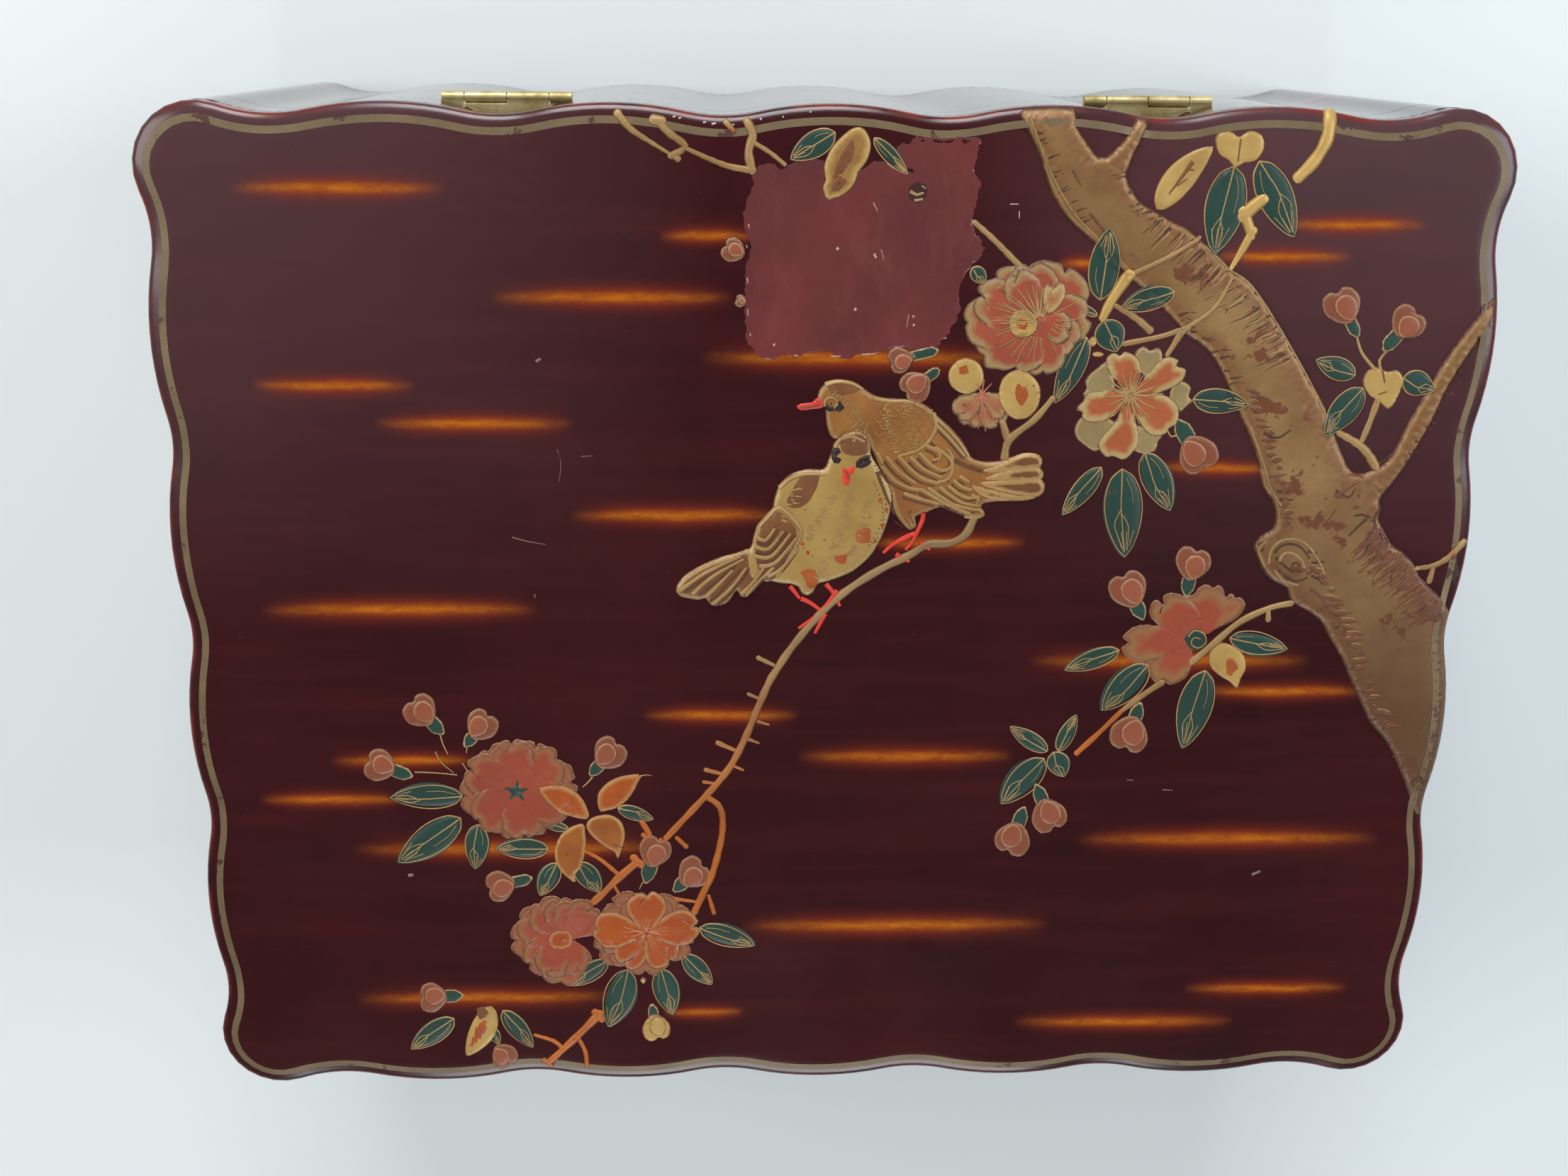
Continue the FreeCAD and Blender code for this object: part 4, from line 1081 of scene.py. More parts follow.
perch_lines = (((1373, 733), (1362, 754), (1340, 766), (1309, 768), (1283, 783), (1244, 802), (1206, 825),
    (1176, 848), (1145, 879), (1114, 917), (1096, 944), (1085, 962), (1070, 996), (1054, 1035), (1034, 1075),
    (1016, 1100), (1000, 1118), (970, 1150), (940, 1182), 13, 11), ((1000, 1126), (1012, 1134), (1019, 1150),
    (1018, 1181), (1006, 1229), (992, 1260), (980, 1286), 10, 12), ((955, 1182), (968, 1194), 7, 8),
    ((1000, 1264), (1007, 1287), 6, 8), ((954, 1268), (982, 1272), 7, 5), ((1070, 928), (1091, 938), 8, 6),
    ((1056, 979), (1072, 986), 6, 5), ((1070, 1018), (1084, 1022), 6, 4), ((1052, 1041), (1070, 1048), 7, 4),
    ((1013, 1048), (1036, 1058), 9, 6), ((1034, 1080), (1048, 1086), 6, 4), ((996, 1086), (1020, 1092), 8, 6),
    ((993, 1103), (1007, 1105), 6, 5))
brush("perch_twig", twig_lines(perch_lines), perch, lift=0.00012, plump=0.4, uneven=0.08)

# ---- Two birds ----
# Long-tailed birds side by side on the twig, the far one brown, the near one gold, both with
# raised bodies and feathers in brush lines.


BIRDS, ENLARGED = (900, 450), 2.613


def enlarged(*places):
    """Pixels of the photograph from those of its enlarged part with the birds."""
    return [(BIRDS[0] + x / ENLARGED, BIRDS[1] + y / ENLARGED) for x, y in places]


def bird_forms(*paths):
    """Smooth closed outlines through places on the birds."""
    return [smooth_line(marks(*enlarged(*path)), 0.0008, True) for path in paths]


def bird_lines(width, paths, thin=0.6):
    """Brush lines over the birds, with widths in pixels."""
    return [(marks(*enlarged(*path)), width * pixel, width * thin * pixel) for path in paths]


# Each bird's pale band and dark outer rim: its drawn edge, the dark rim also painted shade at the foot of the
# relief.
far_brown = gilt("far_bird", (152, 102, 46), (120, 72, 32), (84, 46, 26), 0.1, 60, ((0.0012, 146, 112, 66),
    (0.0003, 88, 52, 30)), 0.15, 0.6)
near_gold = gilt("near_bird", (166, 136, 74), (146, 114, 58), (112, 68, 38), 0.07, 60,
    ((0.0012, 168, 142, 92), (0.0003, 108, 74, 44)), 0.15, 0.6)
FAR_BIRD = ((660, 300), (668, 262), (690, 237), (735, 222), (790, 228), (830, 252), (870, 278), (920, 290),
    (980, 293), (1030, 302), (1075, 325), (1110, 360), (1150, 395), (1190, 440), (1215, 480), (1235, 512),
    (1280, 524), (1340, 520), (1380, 506), (1440, 498), (1482, 503), (1492, 530), (1486, 550), (1490, 590),
    (1498, 622), (1488, 650), (1440, 667), (1360, 672), (1290, 678), (1262, 692), (1274, 715), (1258, 735),
    (1200, 724), (1140, 700), (1110, 696), (1060, 716), (1024, 730), (1028, 762), (1012, 780), (990, 772),
    (962, 742), (940, 702), (930, 640), (900, 572), (862, 485), (830, 432), (780, 440), (730, 446),
    (706, 428), (694, 390), (690, 345), (684, 322))
NEAR_BIRD = ((742, 432), (770, 415), (820, 412), (846, 432), (858, 470), (862, 502), (886, 542), (912, 585),
    (931, 628), (937, 675), (925, 732), (905, 790), (880, 840), (850, 882), (800, 925), (750, 950),
    (700, 967), (666, 976), (655, 992), (643, 1012), (620, 1020), (600, 1008), (588, 986), (560, 978),
    (520, 974), (482, 964), (466, 956), (448, 980), (430, 1000), (400, 1026), (374, 1020), (364, 1002),
    (332, 1044), (290, 1059), (262, 1050), (250, 1031), (215, 1036), (150, 1020), (140, 990), (170, 945),
    (230, 908), (300, 878), (370, 858), (412, 842), (425, 800), (442, 752), (488, 712), (502, 660),
    (520, 612), (560, 572), (620, 553), (682, 552), (700, 520), (712, 490), (722, 462))
for name, form, gold, rise, swell in (("far_bird", FAR_BIRD, far_brown, 0.0006, 0.0007),
                                      ("near_bird", NEAR_BIRD, near_gold, 0.00065, 0.0008)):
    raised(name, bird_forms(form), gold, rise, shoulder=0.0013, cell=0.0015, swell=swell)
wing_brown = gilt("wing_brown", (120, 76, 38), (100, 60, 30), (84, 46, 26), 0.06, 90,
    ((0.0007, 150, 116, 70),), 0.1, 0.6)
tail_lobes = outlines(((1382, 664), (1408, 655), (1440, 640), (1462, 640), (1470, 648), (1466, 658),
    (1440, 661), (1408, 666)), ((1388, 674), (1420, 663), (1456, 658), (1470, 663), (1471, 674), (1456, 678),
    (1420, 677)), ((1378, 680), (1420, 676), (1460, 674), (1473, 681), (1472, 694), (1458, 699), (1420, 694),
    (1396, 687)), ((1368, 682), (1396, 689), (1430, 697), (1460, 699), (1450, 706), (1410, 706), (1384, 698)))
raised("far_tail", tail_lobes, gilt("tail_feathers", (116, 72, 36), (98, 58, 30), (84, 46, 26), 0.06, 90,
    ((0.0011, 158, 124, 74),), 0.15, 0.5), rise=0.00022, shoulder=0.0007)
raised("brown_wings_and_tails", bird_forms(((446, 756), (476, 728), (511, 694), (540, 706), (575, 740),
    (598, 782), (578, 830), (545, 888), (508, 944), (478, 970), (450, 950), (430, 905), (424, 860),
    (432, 806)), ((408, 850), (424, 936), (456, 956), (440, 980), (424, 996), (400, 1018), (378, 1012),
    (364, 992), (330, 1036), (290, 1051), (266, 1044), (252, 1024), (215, 1028), (158, 1014), (150, 990),
    (176, 950), (232, 914), (300, 886), (370, 864))), wing_brown, rise=0.00022, shoulder=0.0008, cell=0.0013)
feather_gold = gilt("feather_gold", (168, 136, 88), (146, 112, 66), (120, 82, 48), 0.05, 90)
feather_brown = gilt("feather_brown", (96, 58, 30), (78, 44, 24), (70, 36, 22), 0.05, 90, metallic=0.1)
pale_feathers = bird_lines(7, (((1090, 345), (1097, 392), (1076, 440), (1030, 480), (960, 500)), ((1092, 358),
    (1140, 402), (1190, 460), (1218, 502)), ((1095, 385), (1150, 440), (1202, 502)), ((690, 240), (735, 228),
    (790, 235), (830, 258)), ((870, 290), (930, 300), (1000, 302), (1060, 330)), ((436, 800), (468, 812),
    (505, 766)), ((430, 835), (480, 842), (535, 776)), ((432, 870), (492, 868), (562, 784)), ((446, 905),
    (505, 892), (585, 800)), ((478, 945), (528, 915), (590, 840)), ((446, 760), (476, 728), (512, 692),
    (542, 704), (578, 740), (602, 782), (584, 828), (550, 886), (510, 948)), ((150, 1000), (250, 930),
    (380, 870)), ((200, 1010), (280, 940), (390, 880)), ((250, 1020), (300, 970), (350, 920)), ((270, 1050),
    (340, 990), (400, 910)), ((380, 1010), (430, 960), (470, 900)), ((400, 1015), (460, 950), (500, 910)),
    ((725, 470), (745, 440), (790, 430), (835, 450)), ((520, 620), (560, 585), (620, 568), (690, 570))))
brown_feathers_and_groove_shade = bird_lines(5, (((1098, 400), (1150, 455), (1198, 512)), ((880, 560), (910, 640), (945, 720)),
    ((438, 815), (474, 826), (516, 770)), ((433, 853), (486, 855), (548, 780)), ((440, 888), (500, 880),
    (575, 790)), ((462, 928), (518, 905), (588, 820)), ((486, 952), (530, 925), (580, 860)), ((175, 1000),
    (265, 935), (385, 876)), ((225, 1015), (300, 950), (360, 905)), ((265, 1040), (320, 980), (380, 915)),
    ((290, 1055), (360, 985), (410, 915)), ((390, 1015), (440, 960), (485, 905)), ((420, 1005), (480, 945),
    (520, 915))))
for path in (((872, 540), (888, 570), (905, 620), (912, 660), (908, 720), (898, 770), (876, 816)),
             ((868, 600), (892, 660), (900, 710), (886, 770), (850, 830)),
             ((884, 590), (910, 660), (916, 712)), ((596, 812), (610, 840), (640, 870))):
    for dot in smooth_line(marks(*enlarged(*path)), 0.0013):
        brown_feathers_and_groove_shade.append(([dot, dot + Vector((0.0002, 0.0001))], 0.0005, 0.0004))
scales = []
for row in range(7):
    for column in range(6):
        x, y = 872 + 36 * column + 18 * (row % 2), 312 + 25 * row + 4 * column
        if ((x - 972) / 112) ** 2 + ((y - 392) / 98) ** 2 < 1:
            scales += bird_lines(3, (((x, y), (x + 8, y + 15), (x + 24, y + 15), (x + 34, y)),))
# Grooves between the far wing's pale ridge lines: drawn dark lines that are also painted shade in each
# groove.
GROOVES = (((1247, 650), (1262, 668), (1285, 684)), ((1263, 648), (1282, 668), (1300, 680), (1318, 684)),
    ((1281, 650), (1296, 664), (1322, 676)), ((1293, 644), (1308, 659), (1324, 667), (1336, 662), (1338, 648),
    (1332, 638)), ((1304, 633), (1318, 640), (1320, 650), (1312, 652)), ((1240, 664), (1256, 681),
    (1276, 691), (1292, 694)), ((1295, 694), (1315, 706), (1330, 715), (1362, 728)), ((1306, 693),
    (1325, 706), (1342, 716), (1374, 723)), ((1322, 692), (1338, 704), (1354, 713), (1378, 718)),
    ((1334, 690), (1347, 700), (1362, 706), (1375, 704)), ((1341, 682), (1351, 690), (1364, 694)),
    ((1350, 676), (1360, 682)), ((1272, 700), (1290, 706), (1318, 714)))
far_wing = [marks((1320, 631), (1337, 643), (1343, 658), (1337, 674), (1318, 680)), marks((1238, 640),
    (1244, 652)), marks((1372, 698), (1380, 703), (1378, 708)), marks((1382, 718), (1387, 726), (1378, 730),
    (1362, 729))]
far_wing += [[place + Vector((0.0009, 0.0009)) for place in marks(*groove)] for groove in GROOVES]
brush("far_wing_ridges", [(line, 0.0012, 0.0009) for line in far_wing], gilt("wing_gold", (162, 128, 76),
    (144, 110, 62), (120, 84, 48), 0.04, 90, metallic=0.2), lift=0.00005, plump=0.45, uneven=0.05)
# Painted shade in the wing's grooves.
brown_feathers_and_groove_shade += strokes(0.0007, 0.0004, *GROOVES)
brown_feathers_and_groove_shade += twig_lines((((1308, 620), (1322, 632), (1340, 645), 6, 4), ((1342, 646), (1362, 656),
    (1386, 664), 7, 5), ((1262, 735), (1274, 744), 1.6, 1), ((1276, 730), (1286, 746), 1.6, 1), ((1284, 728),
    (1291, 742), 1.6, 1)))
brush("scales", scales, gilt("scale_gold", (158, 114, 60), (138, 96, 48), (110, 70, 38), 0.05, 90),
      lift=0.00007, plump=0.25)
brush("pale_feathers", pale_feathers, feather_gold, lift=0.00012, plump=0.3)
brush("brown_feathers_and_groove_shade", brown_feathers_and_groove_shade, feather_brown, lift=0.00002, plump=0.25)
barbs = []
for path, side, count, reach, seed in (
        (((700, 640), (640, 720), (600, 800)), (760, 760), 26, 0.0022, 31),
        (((760, 640), (740, 740), (700, 840)), (860, 760), 26, 0.0022, 32),
        (((820, 660), (810, 760), (760, 860)), (900, 780), 24, 0.002, 33),
        (((560, 620), (540, 680), (500, 740)), (640, 700), 20, 0.002, 34),
        (((690, 860), (660, 900), (640, 950)), (740, 920), 14, 0.0018, 35),
        (((880, 320), (905, 400), (930, 490)), (1000, 400), 22, 0.002, 36),
        (((960, 310), (985, 390), (1000, 470)), (1060, 400), 22, 0.002, 37),
        (((730, 250), (800, 300), (850, 380)), (780, 380), 20, 0.0022, 38),
        (((760, 300), (800, 350), (830, 410)), (760, 400), 14, 0.002, 39)):
    barbs += dashes(enlarged(*path), count, enlarged(side)[0], reach, 0.00032, seed)
brush("feather_barbs", barbs, feather_gold, lift=0.00008, plump=0.22, step=0.001)
worn_brown = gilt("worn_brown", (118, 74, 38), (98, 56, 28), (80, 40, 24), 0.1, 200, metallic=0.05)
spot_orange = gilt("spot_orange", (158, 78, 24), (136, 62, 22), (110, 46, 24), 0.05, 200, metallic=0)
raised("crown_and_worn_wing", bird_forms(((748, 440), (775, 424), (820, 422), (842, 440), (850, 470),
    (842, 494), (800, 500), (760, 492), (746, 468)), ((668, 572), (640, 566), (606, 574), (582, 602),
    (562, 640), (548, 668), (560, 690), (596, 690), (628, 668), (646, 640), (660, 612)), ((700, 250),
    (740, 236), (790, 242), (815, 262), (770, 276), (720, 278))), worn_brown, rise=0.00004, shoulder=0.0003,
       cell=0.0014, heap=False)
raised("feather_spots", bird_forms(((806, 776), (852, 768), (856, 800), (850, 820), (806, 816)), ((722, 872),
    (760, 862), (790, 850), (770, 872), (764, 896), (738, 896)), ((598, 930), (634, 916), (654, 926),
    (664, 962), (648, 990), (624, 984), (614, 954)), ((884, 660), (896, 654), (900, 670), (888, 676)),
    ((908, 696), (920, 690), (922, 706), (910, 710)), ((896, 752), (908, 748), (906, 764), (894, 766)),
    ((866, 812), (878, 806), (876, 822), (864, 826)), ((604, 814), (616, 822), (608, 834), (598, 826)),
    ((622, 846), (634, 852), (628, 866), (618, 860))), spot_orange, rise=0.00005, shoulder=0.0002, heap=False)
vermilion = gilt("vermilion", (206, 54, 34), (180, 44, 30), (140, 36, 28), 0.05, 200, metallic=0)
brush("birds_feet", bird_lines(8, (((1052, 716), (1048, 742), (1030, 782), (1016, 812), (1000, 836),
    (985, 850)), ((1022, 790), (980, 806), (938, 832), (904, 862)), ((1000, 800), (950, 824), (912, 852)),
    ((1040, 824), (1076, 850)), ((950, 866), (1000, 894)), ((600, 1030), (636, 1046), (690, 1088)),
    ((692, 976), (722, 1012), (744, 1058)), ((735, 1000), (672, 1080), (592, 1140)), ((690, 1086),
    (652, 1158)), ((560, 984), (596, 1030)))), vermilion, lift=0.00015, plump=0.55)
raised("beaks", bird_forms(((584, 322), (600, 312), (640, 306), (664, 288), (684, 306), (684, 326),
    (640, 334), (600, 338)), ((750, 548), (756, 536), (768, 548), (780, 540), (804, 534), (798, 552),
    (784, 576), (776, 604), (758, 608), (750, 582))), vermilion, rise=0.00025, shoulder=0.0005)
ink = gilt("ink_lines", (36, 16, 16), (30, 12, 12), (30, 12, 12), 0, 200, metallic=0)
ring = [(710 + 24 * cos(turn * pi / 5), 308 + 22 * sin(turn * pi / 5))
        for turn in range(11)]
near_eyes = []
for x, y, wide, tall, tilt in ((731, 500, 10, 22, 0.0), (832, 522, 24, 12, 0.45)):
    turns = [turn * pi / 4 + 0.4 for turn in range(8)]
    near_eyes.append([(x + wide * cos(turn), y - tilt * wide * cos(turn) + tall * sin(turn))
                      for turn in turns])
brush("far_eye_ring", bird_lines(5, [ring]), feather_gold, lift=0.0001, plump=0.3)
brush("eyes_and_beak_lines", bird_lines(8, near_eyes + [((728, 322), (742, 330), (752, 322), (738, 304)),
    ((690, 320), (706, 330), (722, 328))], 0.8), ink, lift=0.0001, plump=0.3)
brush("beak_lines", bird_lines(3, [((760, 554), (772, 566), (775, 588)), ((600, 324), (640, 322),
    (672, 314))], 0.8), worn_brown, lift=0.00006, plump=0.3)
pupils = [[(x + 6 * cos(turn), y + 6 * sin(turn)) for turn in (0, 1.05, 2.1, 3.14, 4.2, 5.24)]
          for x, y in ((712, 310), (732, 497), (838, 521))]
raised("pupils", bird_forms(*pupils), ink, rise=0.00012, shoulder=0.0003, heap=False)

# ---- Leaves ----
# Deep green leaves with a fine gold outline and veins, drawn a little beside the green as a
# brush does, each slightly domed.


def leaf_width(along):
    """Half width of a leaf, from its base at zero to its tip at one."""
    return sin(pi * along ** 0.82) ** 0.68 if 0 < along < 1 else 0.0


def leaf_frame(base, tip, width):
    """Where a leaf starts, its run, its side and its half width, from pixels."""
    start = on_lid(*base)
    run = on_lid(*tip) - start
    return start, run, Vector((-run.y, run.x)).normalized(), width * pixel / 2


LEAF_DOME, LEAF_LIFT, LEAF_SHOULDER = 0.9, 0.00004, 0.0006


def leaf_forms(name, leaves, material, rise=0.00026):
    """Domed leaves of one finish, from (base, tip, width) in pixels."""
    shape = bmesh.new()
    border = shape.verts.layers.float.new("from_edge")
    pick = random.Random(len(leaves))
    edges = []
    for leaf in leaves:
        start, run, side, half = leaf_frame(*leaf)
        bend = pick.uniform(-0.05, 0.05) * run.length
        for vert in bmesh.ops.create_grid(shape, x_segments=18, y_segments=8, size=1.0)["verts"]:
            along, across = (vert.co.x + 1) / 2, vert.co.y
            wide = half * leaf_width(along)
            vert[border] = (1 - abs(across)) * wide
            vert.co.xy = start + run * along + side * (across * wide + bend * 4 * along * (1 - along))
        edges.append([start + run * along
                      + side * (hand * half * leaf_width(along) + bend * 4 * along * (1 - along))
                      for hand, first in ((-1, 0), (1, 12))
                      for along in [abs(first - step) / 12 for step in range(12)]])
    bmesh.ops.remove_doubles(shape, verts=shape.verts, dist=WELD)
    places = places_of(shape)
    gap = np.array([vert[border] for vert in shape.verts])
    height = lid_height(places) + heap_at(places) + swell_of(gap, rise, LEAF_SHOULDER, rise * LEAF_DOME)
    for vert, level, distance in zip(shape.verts, height, gap):
        vert.co.z = level + (LEAF_LIFT if distance > WELD else -SUNK)
    for line in edges:
        heaped.append((np.array([tuple(point) for point in line]), rise, LEAF_SHOULDER, rise * LEAF_DOME,
                       None))
    face_up(shape)
    return new_piece(shape, name, material, "lid")


def leaf_lines(leaves):
    """Gold outline and midrib of each leaf, with the loop and hatching a brush leaves near its tip."""
    pick = random.Random(1)
    width = 1.5 * pixel
    lines = []
    for leaf in leaves:
        start, run, side, half = leaf_frame(*leaf)
        shift = side * pick.uniform(-0.06, 0.06) * half + run * pick.uniform(-0.02, 0.0)

        def stroke(places, first, last):
            """One stroke from places along and across the leaf."""
            points = [start + shift + run * along * 0.98 + side * across * half * 0.96 * leaf_width(along)
                      for along, across in places]
            lines.append((points, width * first, width * last))

        hand, bow, turn = pick.choice((-1, 1)), pick.uniform(0.0, 0.3), pick.uniform(0.44, 0.58)
        for edge in (-1, 1):
            stroke([(step / 12, edge) for step in range(13)], 1.5, 1.0)
        stroke([(0.0, 0.0), (turn / 2, 0.6 * bow * hand), (turn, bow * hand), (0.94, 0.1 * hand)], 1.7, 0.8)
        stroke([(turn, bow * hand), (turn + 0.16, (bow + 0.42) * hand), (turn + 0.3, 0.5 * hand),
                (0.95, 0.2 * hand)], 1.0, 0.7)
        stroke([(turn + 0.06, bow * hand), (turn + 0.2, -0.25 * hand), (0.93, -0.35 * hand)], 1.1, 0.7)
        if run.length > 60 * pixel:
            stroke([(0.1, -0.35 * hand), (0.28, -0.52 * hand), (turn - 0.06, -0.5 * hand)], 0.8, 0.5)
            for hatch in range(4):
                across = -0.6 + 0.4 * hatch + pick.uniform(-0.1, 0.1)
                stroke([(pick.uniform(0.66, 0.76), across), (pick.uniform(0.88, 0.95), across * 0.8)],
                       0.9, 0.5)
    return lines


leaf_green = gilt("leaf_green", (18, 58, 48), (24, 48, 40), (52, 54, 42), 0.08, 40, metallic=0)
leaf_gold = gilt("leaf_gold", (174, 142, 92), (146, 114, 68), (116, 82, 50), 0.04, 90)
LEAVES = (((1551, 423), (1563, 318), 45), ((1655, 410), (1580, 435), 34), ((1548, 445), (1516, 428), 12),
    ((1557, 453), (1576, 497), 44), ((1532, 476), (1487, 570), 38), ((1683, 564), (1761, 570), 38),
    ((1553, 661), (1497, 728), 32), ((1582, 662), (1586, 788), 59), ((1616, 640), (1652, 722), 44),
    ((1741, 237), (1712, 362), 59), ((1775, 228), (1825, 337), 50), ((1911, 529), (1855, 507), 34),
    ((1979, 534), (2022, 550), 38), ((1923, 548), (1866, 615), 44), ((1578, 918), (1500, 946), 32),
    ((1617, 938), (1552, 1003), 48), ((1699, 946), (1667, 1057), 56), ((1736, 901), (1818, 916), 37),
    ((1478, 1059), (1424, 1024), 28), ((1493, 1059), (1519, 1007), 26), ((1472, 1070), (1411, 1135), 48),
    ((1487, 1061), (1502, 1096), 35), ((652, 1124), (549, 1126), 42), ((648, 1154), (559, 1217), 51),
    ((674, 1164), (670, 1227), 38), ((773, 1197), (698, 1197), 36), ((802, 1170), (763, 1160), 16),
    ((872, 1140), (923, 1156), 24), ((785, 1217), (761, 1264), 33), ((816, 1217), (848, 1259), 37),
    ((856, 1355), (806, 1391), 32), ((886, 1369), (858, 1450), 51), ((933, 1367), (949, 1432), 43),
    ((988, 1310), (1067, 1334), 38), ((965, 1347), (1006, 1389), 34), ((640, 1436), (579, 1480), 38),
    ((710, 1425), (753, 1478), 34), ((694, 1450), (704, 1474), 18), ((1178, 188), (1114, 226), 36),
    ((1233, 195), (1281, 247), 20), ((1372, 378), (1390, 400), 22))
leaf_forms("leaves", LEAVES, leaf_green)
brush("leaf_outlines", leaf_lines(LEAVES), leaf_gold, lift=0.00009, plump=0.5, step=0.0009)

# ---- Calyxes and bud stems ----
# Small green cups under buds and blossoms, each with a gold edge.

BUDS = ((1895, 434, 26), (1984, 457, 24), (1682, 797, 24), (1593, 834, 26), (1594, 1033, 26),
    (1478, 1148, 24), (1430, 1181, 24), (595, 1005, 23), (678, 1025, 22), (538, 1081, 22), (858, 1065, 23),
    (708, 1249, 21), (923, 1203, 22), (976, 1233, 22), (925, 1448, 19), (613, 1407, 20), (710, 1488, 18),
    (1688, 638, 27), (1294, 544, 22), (1272, 507, 18), (1036, 354, 17), (1046, 425, 9))
CALYXES = ((1668, 605, 15), (1911, 466, 11), (1959, 486, 12), (1675, 829, 12), (1607, 862, 13),
    (1605, 1003, 12), (1466, 1118, 12), (1441, 1150, 12), (617, 1027, 12), (662, 1045, 11), (571, 1092, 11),
    (839, 1086, 11), (741, 1241, 10), (914, 1233, 13), (959, 1249, 12), (921, 1425, 9), (642, 1405, 11),
    (1319, 525, 9), (1315, 496, 9))


FINE_STEP = 0.0005


def round_outline(px, py, radius, dent=0.12, squash=1.0):
    """A hand-drawn round outline."""
    pick = random.Random(round(px))
    turn = pick.uniform(0, 6.28)
    places = []
    for number in range(9):
        angle = turn + number * 0.6981
        across = radius * (1 + pick.uniform(-dent, dent)) * cos(angle)
        places.append(on_lid(px + across,
                             py + squash * radius * (1 + pick.uniform(-dent, dent)) * sin(angle)))
    return smooth_line(places, FINE_STEP, True)


def cup_outline(px, py, radius):
    """A calyx: pointed at its stem, opening in two lips under the nearest bud."""
    bud = min(BUDS, key=lambda form: hypot(form[0] - px, form[1] - py))
    ahead = Vector((bud[0] - px, bud[1] - py))
    reach = max(radius, ahead.length - 0.55 * bud[2])
    ahead.normalize()
    points = ((-1.15 * radius, 0.0), (-0.6 * radius, 0.55 * radius), (0.1 * radius, 0.85 * radius),
              (reach, 0.8 * radius), (0.8 * reach, 0.1 * radius), (reach, -0.7 * radius),
              (0.1 * radius, -0.85 * radius), (-0.6 * radius, -0.5 * radius))
    return smooth_line([on_lid(px + far * ahead.x - side * ahead.y, py + far * ahead.y + side * ahead.x)
                        for far, side in points], FINE_STEP, True)


raised("calyxes", [cup_outline(*cup) for cup in CALYXES], gilt("calyx_green", (20, 60, 48), (26, 50, 42),
    (60, 58, 42), 0.06, 60, ((0.0004, 160, 132, 86),), 0), rise=0.00022, shoulder=0.0007)
brush("bud_stems", twig_lines((((621, 1036), (625, 1050), (632, 1064), 2.4, 1.8), ((585, 1089), (612, 1090),
    (645, 1093), 2.4, 2), ((836, 1096), (829, 1104), (822, 1110), 2.6, 2), ((1914, 476), (1921, 498),
    (1940, 522), 4, 6), ((1956, 496), (1946, 508), (1948, 524), 4, 5), ((1660, 614), (1652, 616), (1646, 606),
    3, 2), ((659, 1054), (658, 1062), 2.2, 1.6), ((614, 1060), (622, 1075), (640, 1090), 2, 1.4),
    ((907, 1244), (902, 1254), 2.2, 1.6), ((652, 1076), (664, 1094), 2, 1.4))), leaf_gold, lift=0.00012,
      plump=0.4)

# ---- Seeds, gold leaves and orange leaves ----
# Single leaves in gold or in orange with a pale rim, and a few gold seeds.

gold_leaf = gilt("gold_leaf", (186, 154, 88), (160, 126, 68), (120, 72, 38), 0.08, 80,
    ((0.0003, 120, 84, 48),), 0.25, 0.5)
orange_leaf = gilt("orange_leaf", (160, 74, 12), (138, 60, 10), (104, 48, 24), 0.06, 120,
    ((0.0011, 160, 112, 58), (0.0002, 104, 62, 32)), 0.05, 0.5, 0.45)
leaf_forms("gold_leaves", (((1631, 296), (1712, 206), 45), ((694, 1419), (658, 1490), 44)), gold_leaf,
    0.00028)
GOLD_HEART = ((1714, 199), (1719, 188), (1737, 185), (1748, 192), (1764, 184), (1780, 190), (1784, 208),
    (1773, 226), (1755, 231), (1742, 237), (1732, 226), (1719, 217))
SECOND_HEART = ((1922, 540), (1928, 524), (1944, 518), (1958, 524), (1972, 522), (1980, 536), (1974, 556),
    (1960, 577), (1944, 566), (1930, 556))
SEED = ((1706, 920), (1721, 907), (1738, 910), (1754, 923), (1758, 942), (1751, 957), (1745, 971),
    (1734, 962), (1717, 951), (1706, 938))
PATCH_LEAF = ((1220, 182), (1204, 180), (1185, 194), (1170, 213), (1162, 236), (1164, 255), (1160, 263),
    (1166, 282), (1178, 280), (1189, 276), (1204, 262), (1212, 243), (1224, 226), (1229, 203))
raised("gold_hearts", outlines(GOLD_HEART, SECOND_HEART, SEED)
       + [round_outline(1542, 482, 6, squash=1.3), round_outline(1549, 500, 9, squash=0.5),
          round_outline(907, 1383, 5)], gold_leaf, rise=0.0003, shoulder=0.001, cell=0.0012)
brush("gold_leaf_lines", twig_lines((((1648, 274), (1664, 253), (1682, 228), 2, 7), ((1660, 262), (1674, 252),
    3, 2), ((1672, 238), (1684, 240), 4, 2), ((1750, 196), (1748, 212), (1746, 228), 2.4, 2), ((1950, 522),
    (1953, 540), 3, 2), ((1944, 556), (1956, 552), 2.4, 2), ((1216, 190), (1196, 226), (1172, 270), 4, 3))),
      worn_brown, lift=0.00004, plump=0.3)
raised("worn_gold_leaf", outlines(PATCH_LEAF), gilt("worn_gold_leaf", (134, 94, 46), (150, 112, 60),
    (120, 62, 30), 0.2, 120, ((0.0015, 170, 138, 76), (0.0003, 110, 74, 40)), 0.2, 0.8, 0.4), rise=0.0004,
       shoulder=0.001, cell=0.0011)
raised("orange_patches", [round_outline(1736, 940, 9, 0.3, squash=1.3), *outlines(((686, 1436), (672, 1446),
    (666, 1462), (662, 1478), (676, 1468), (688, 1450)))], spot_orange, rise=0.00014, shoulder=0.0003,
       cell=0.0012, heap=False)
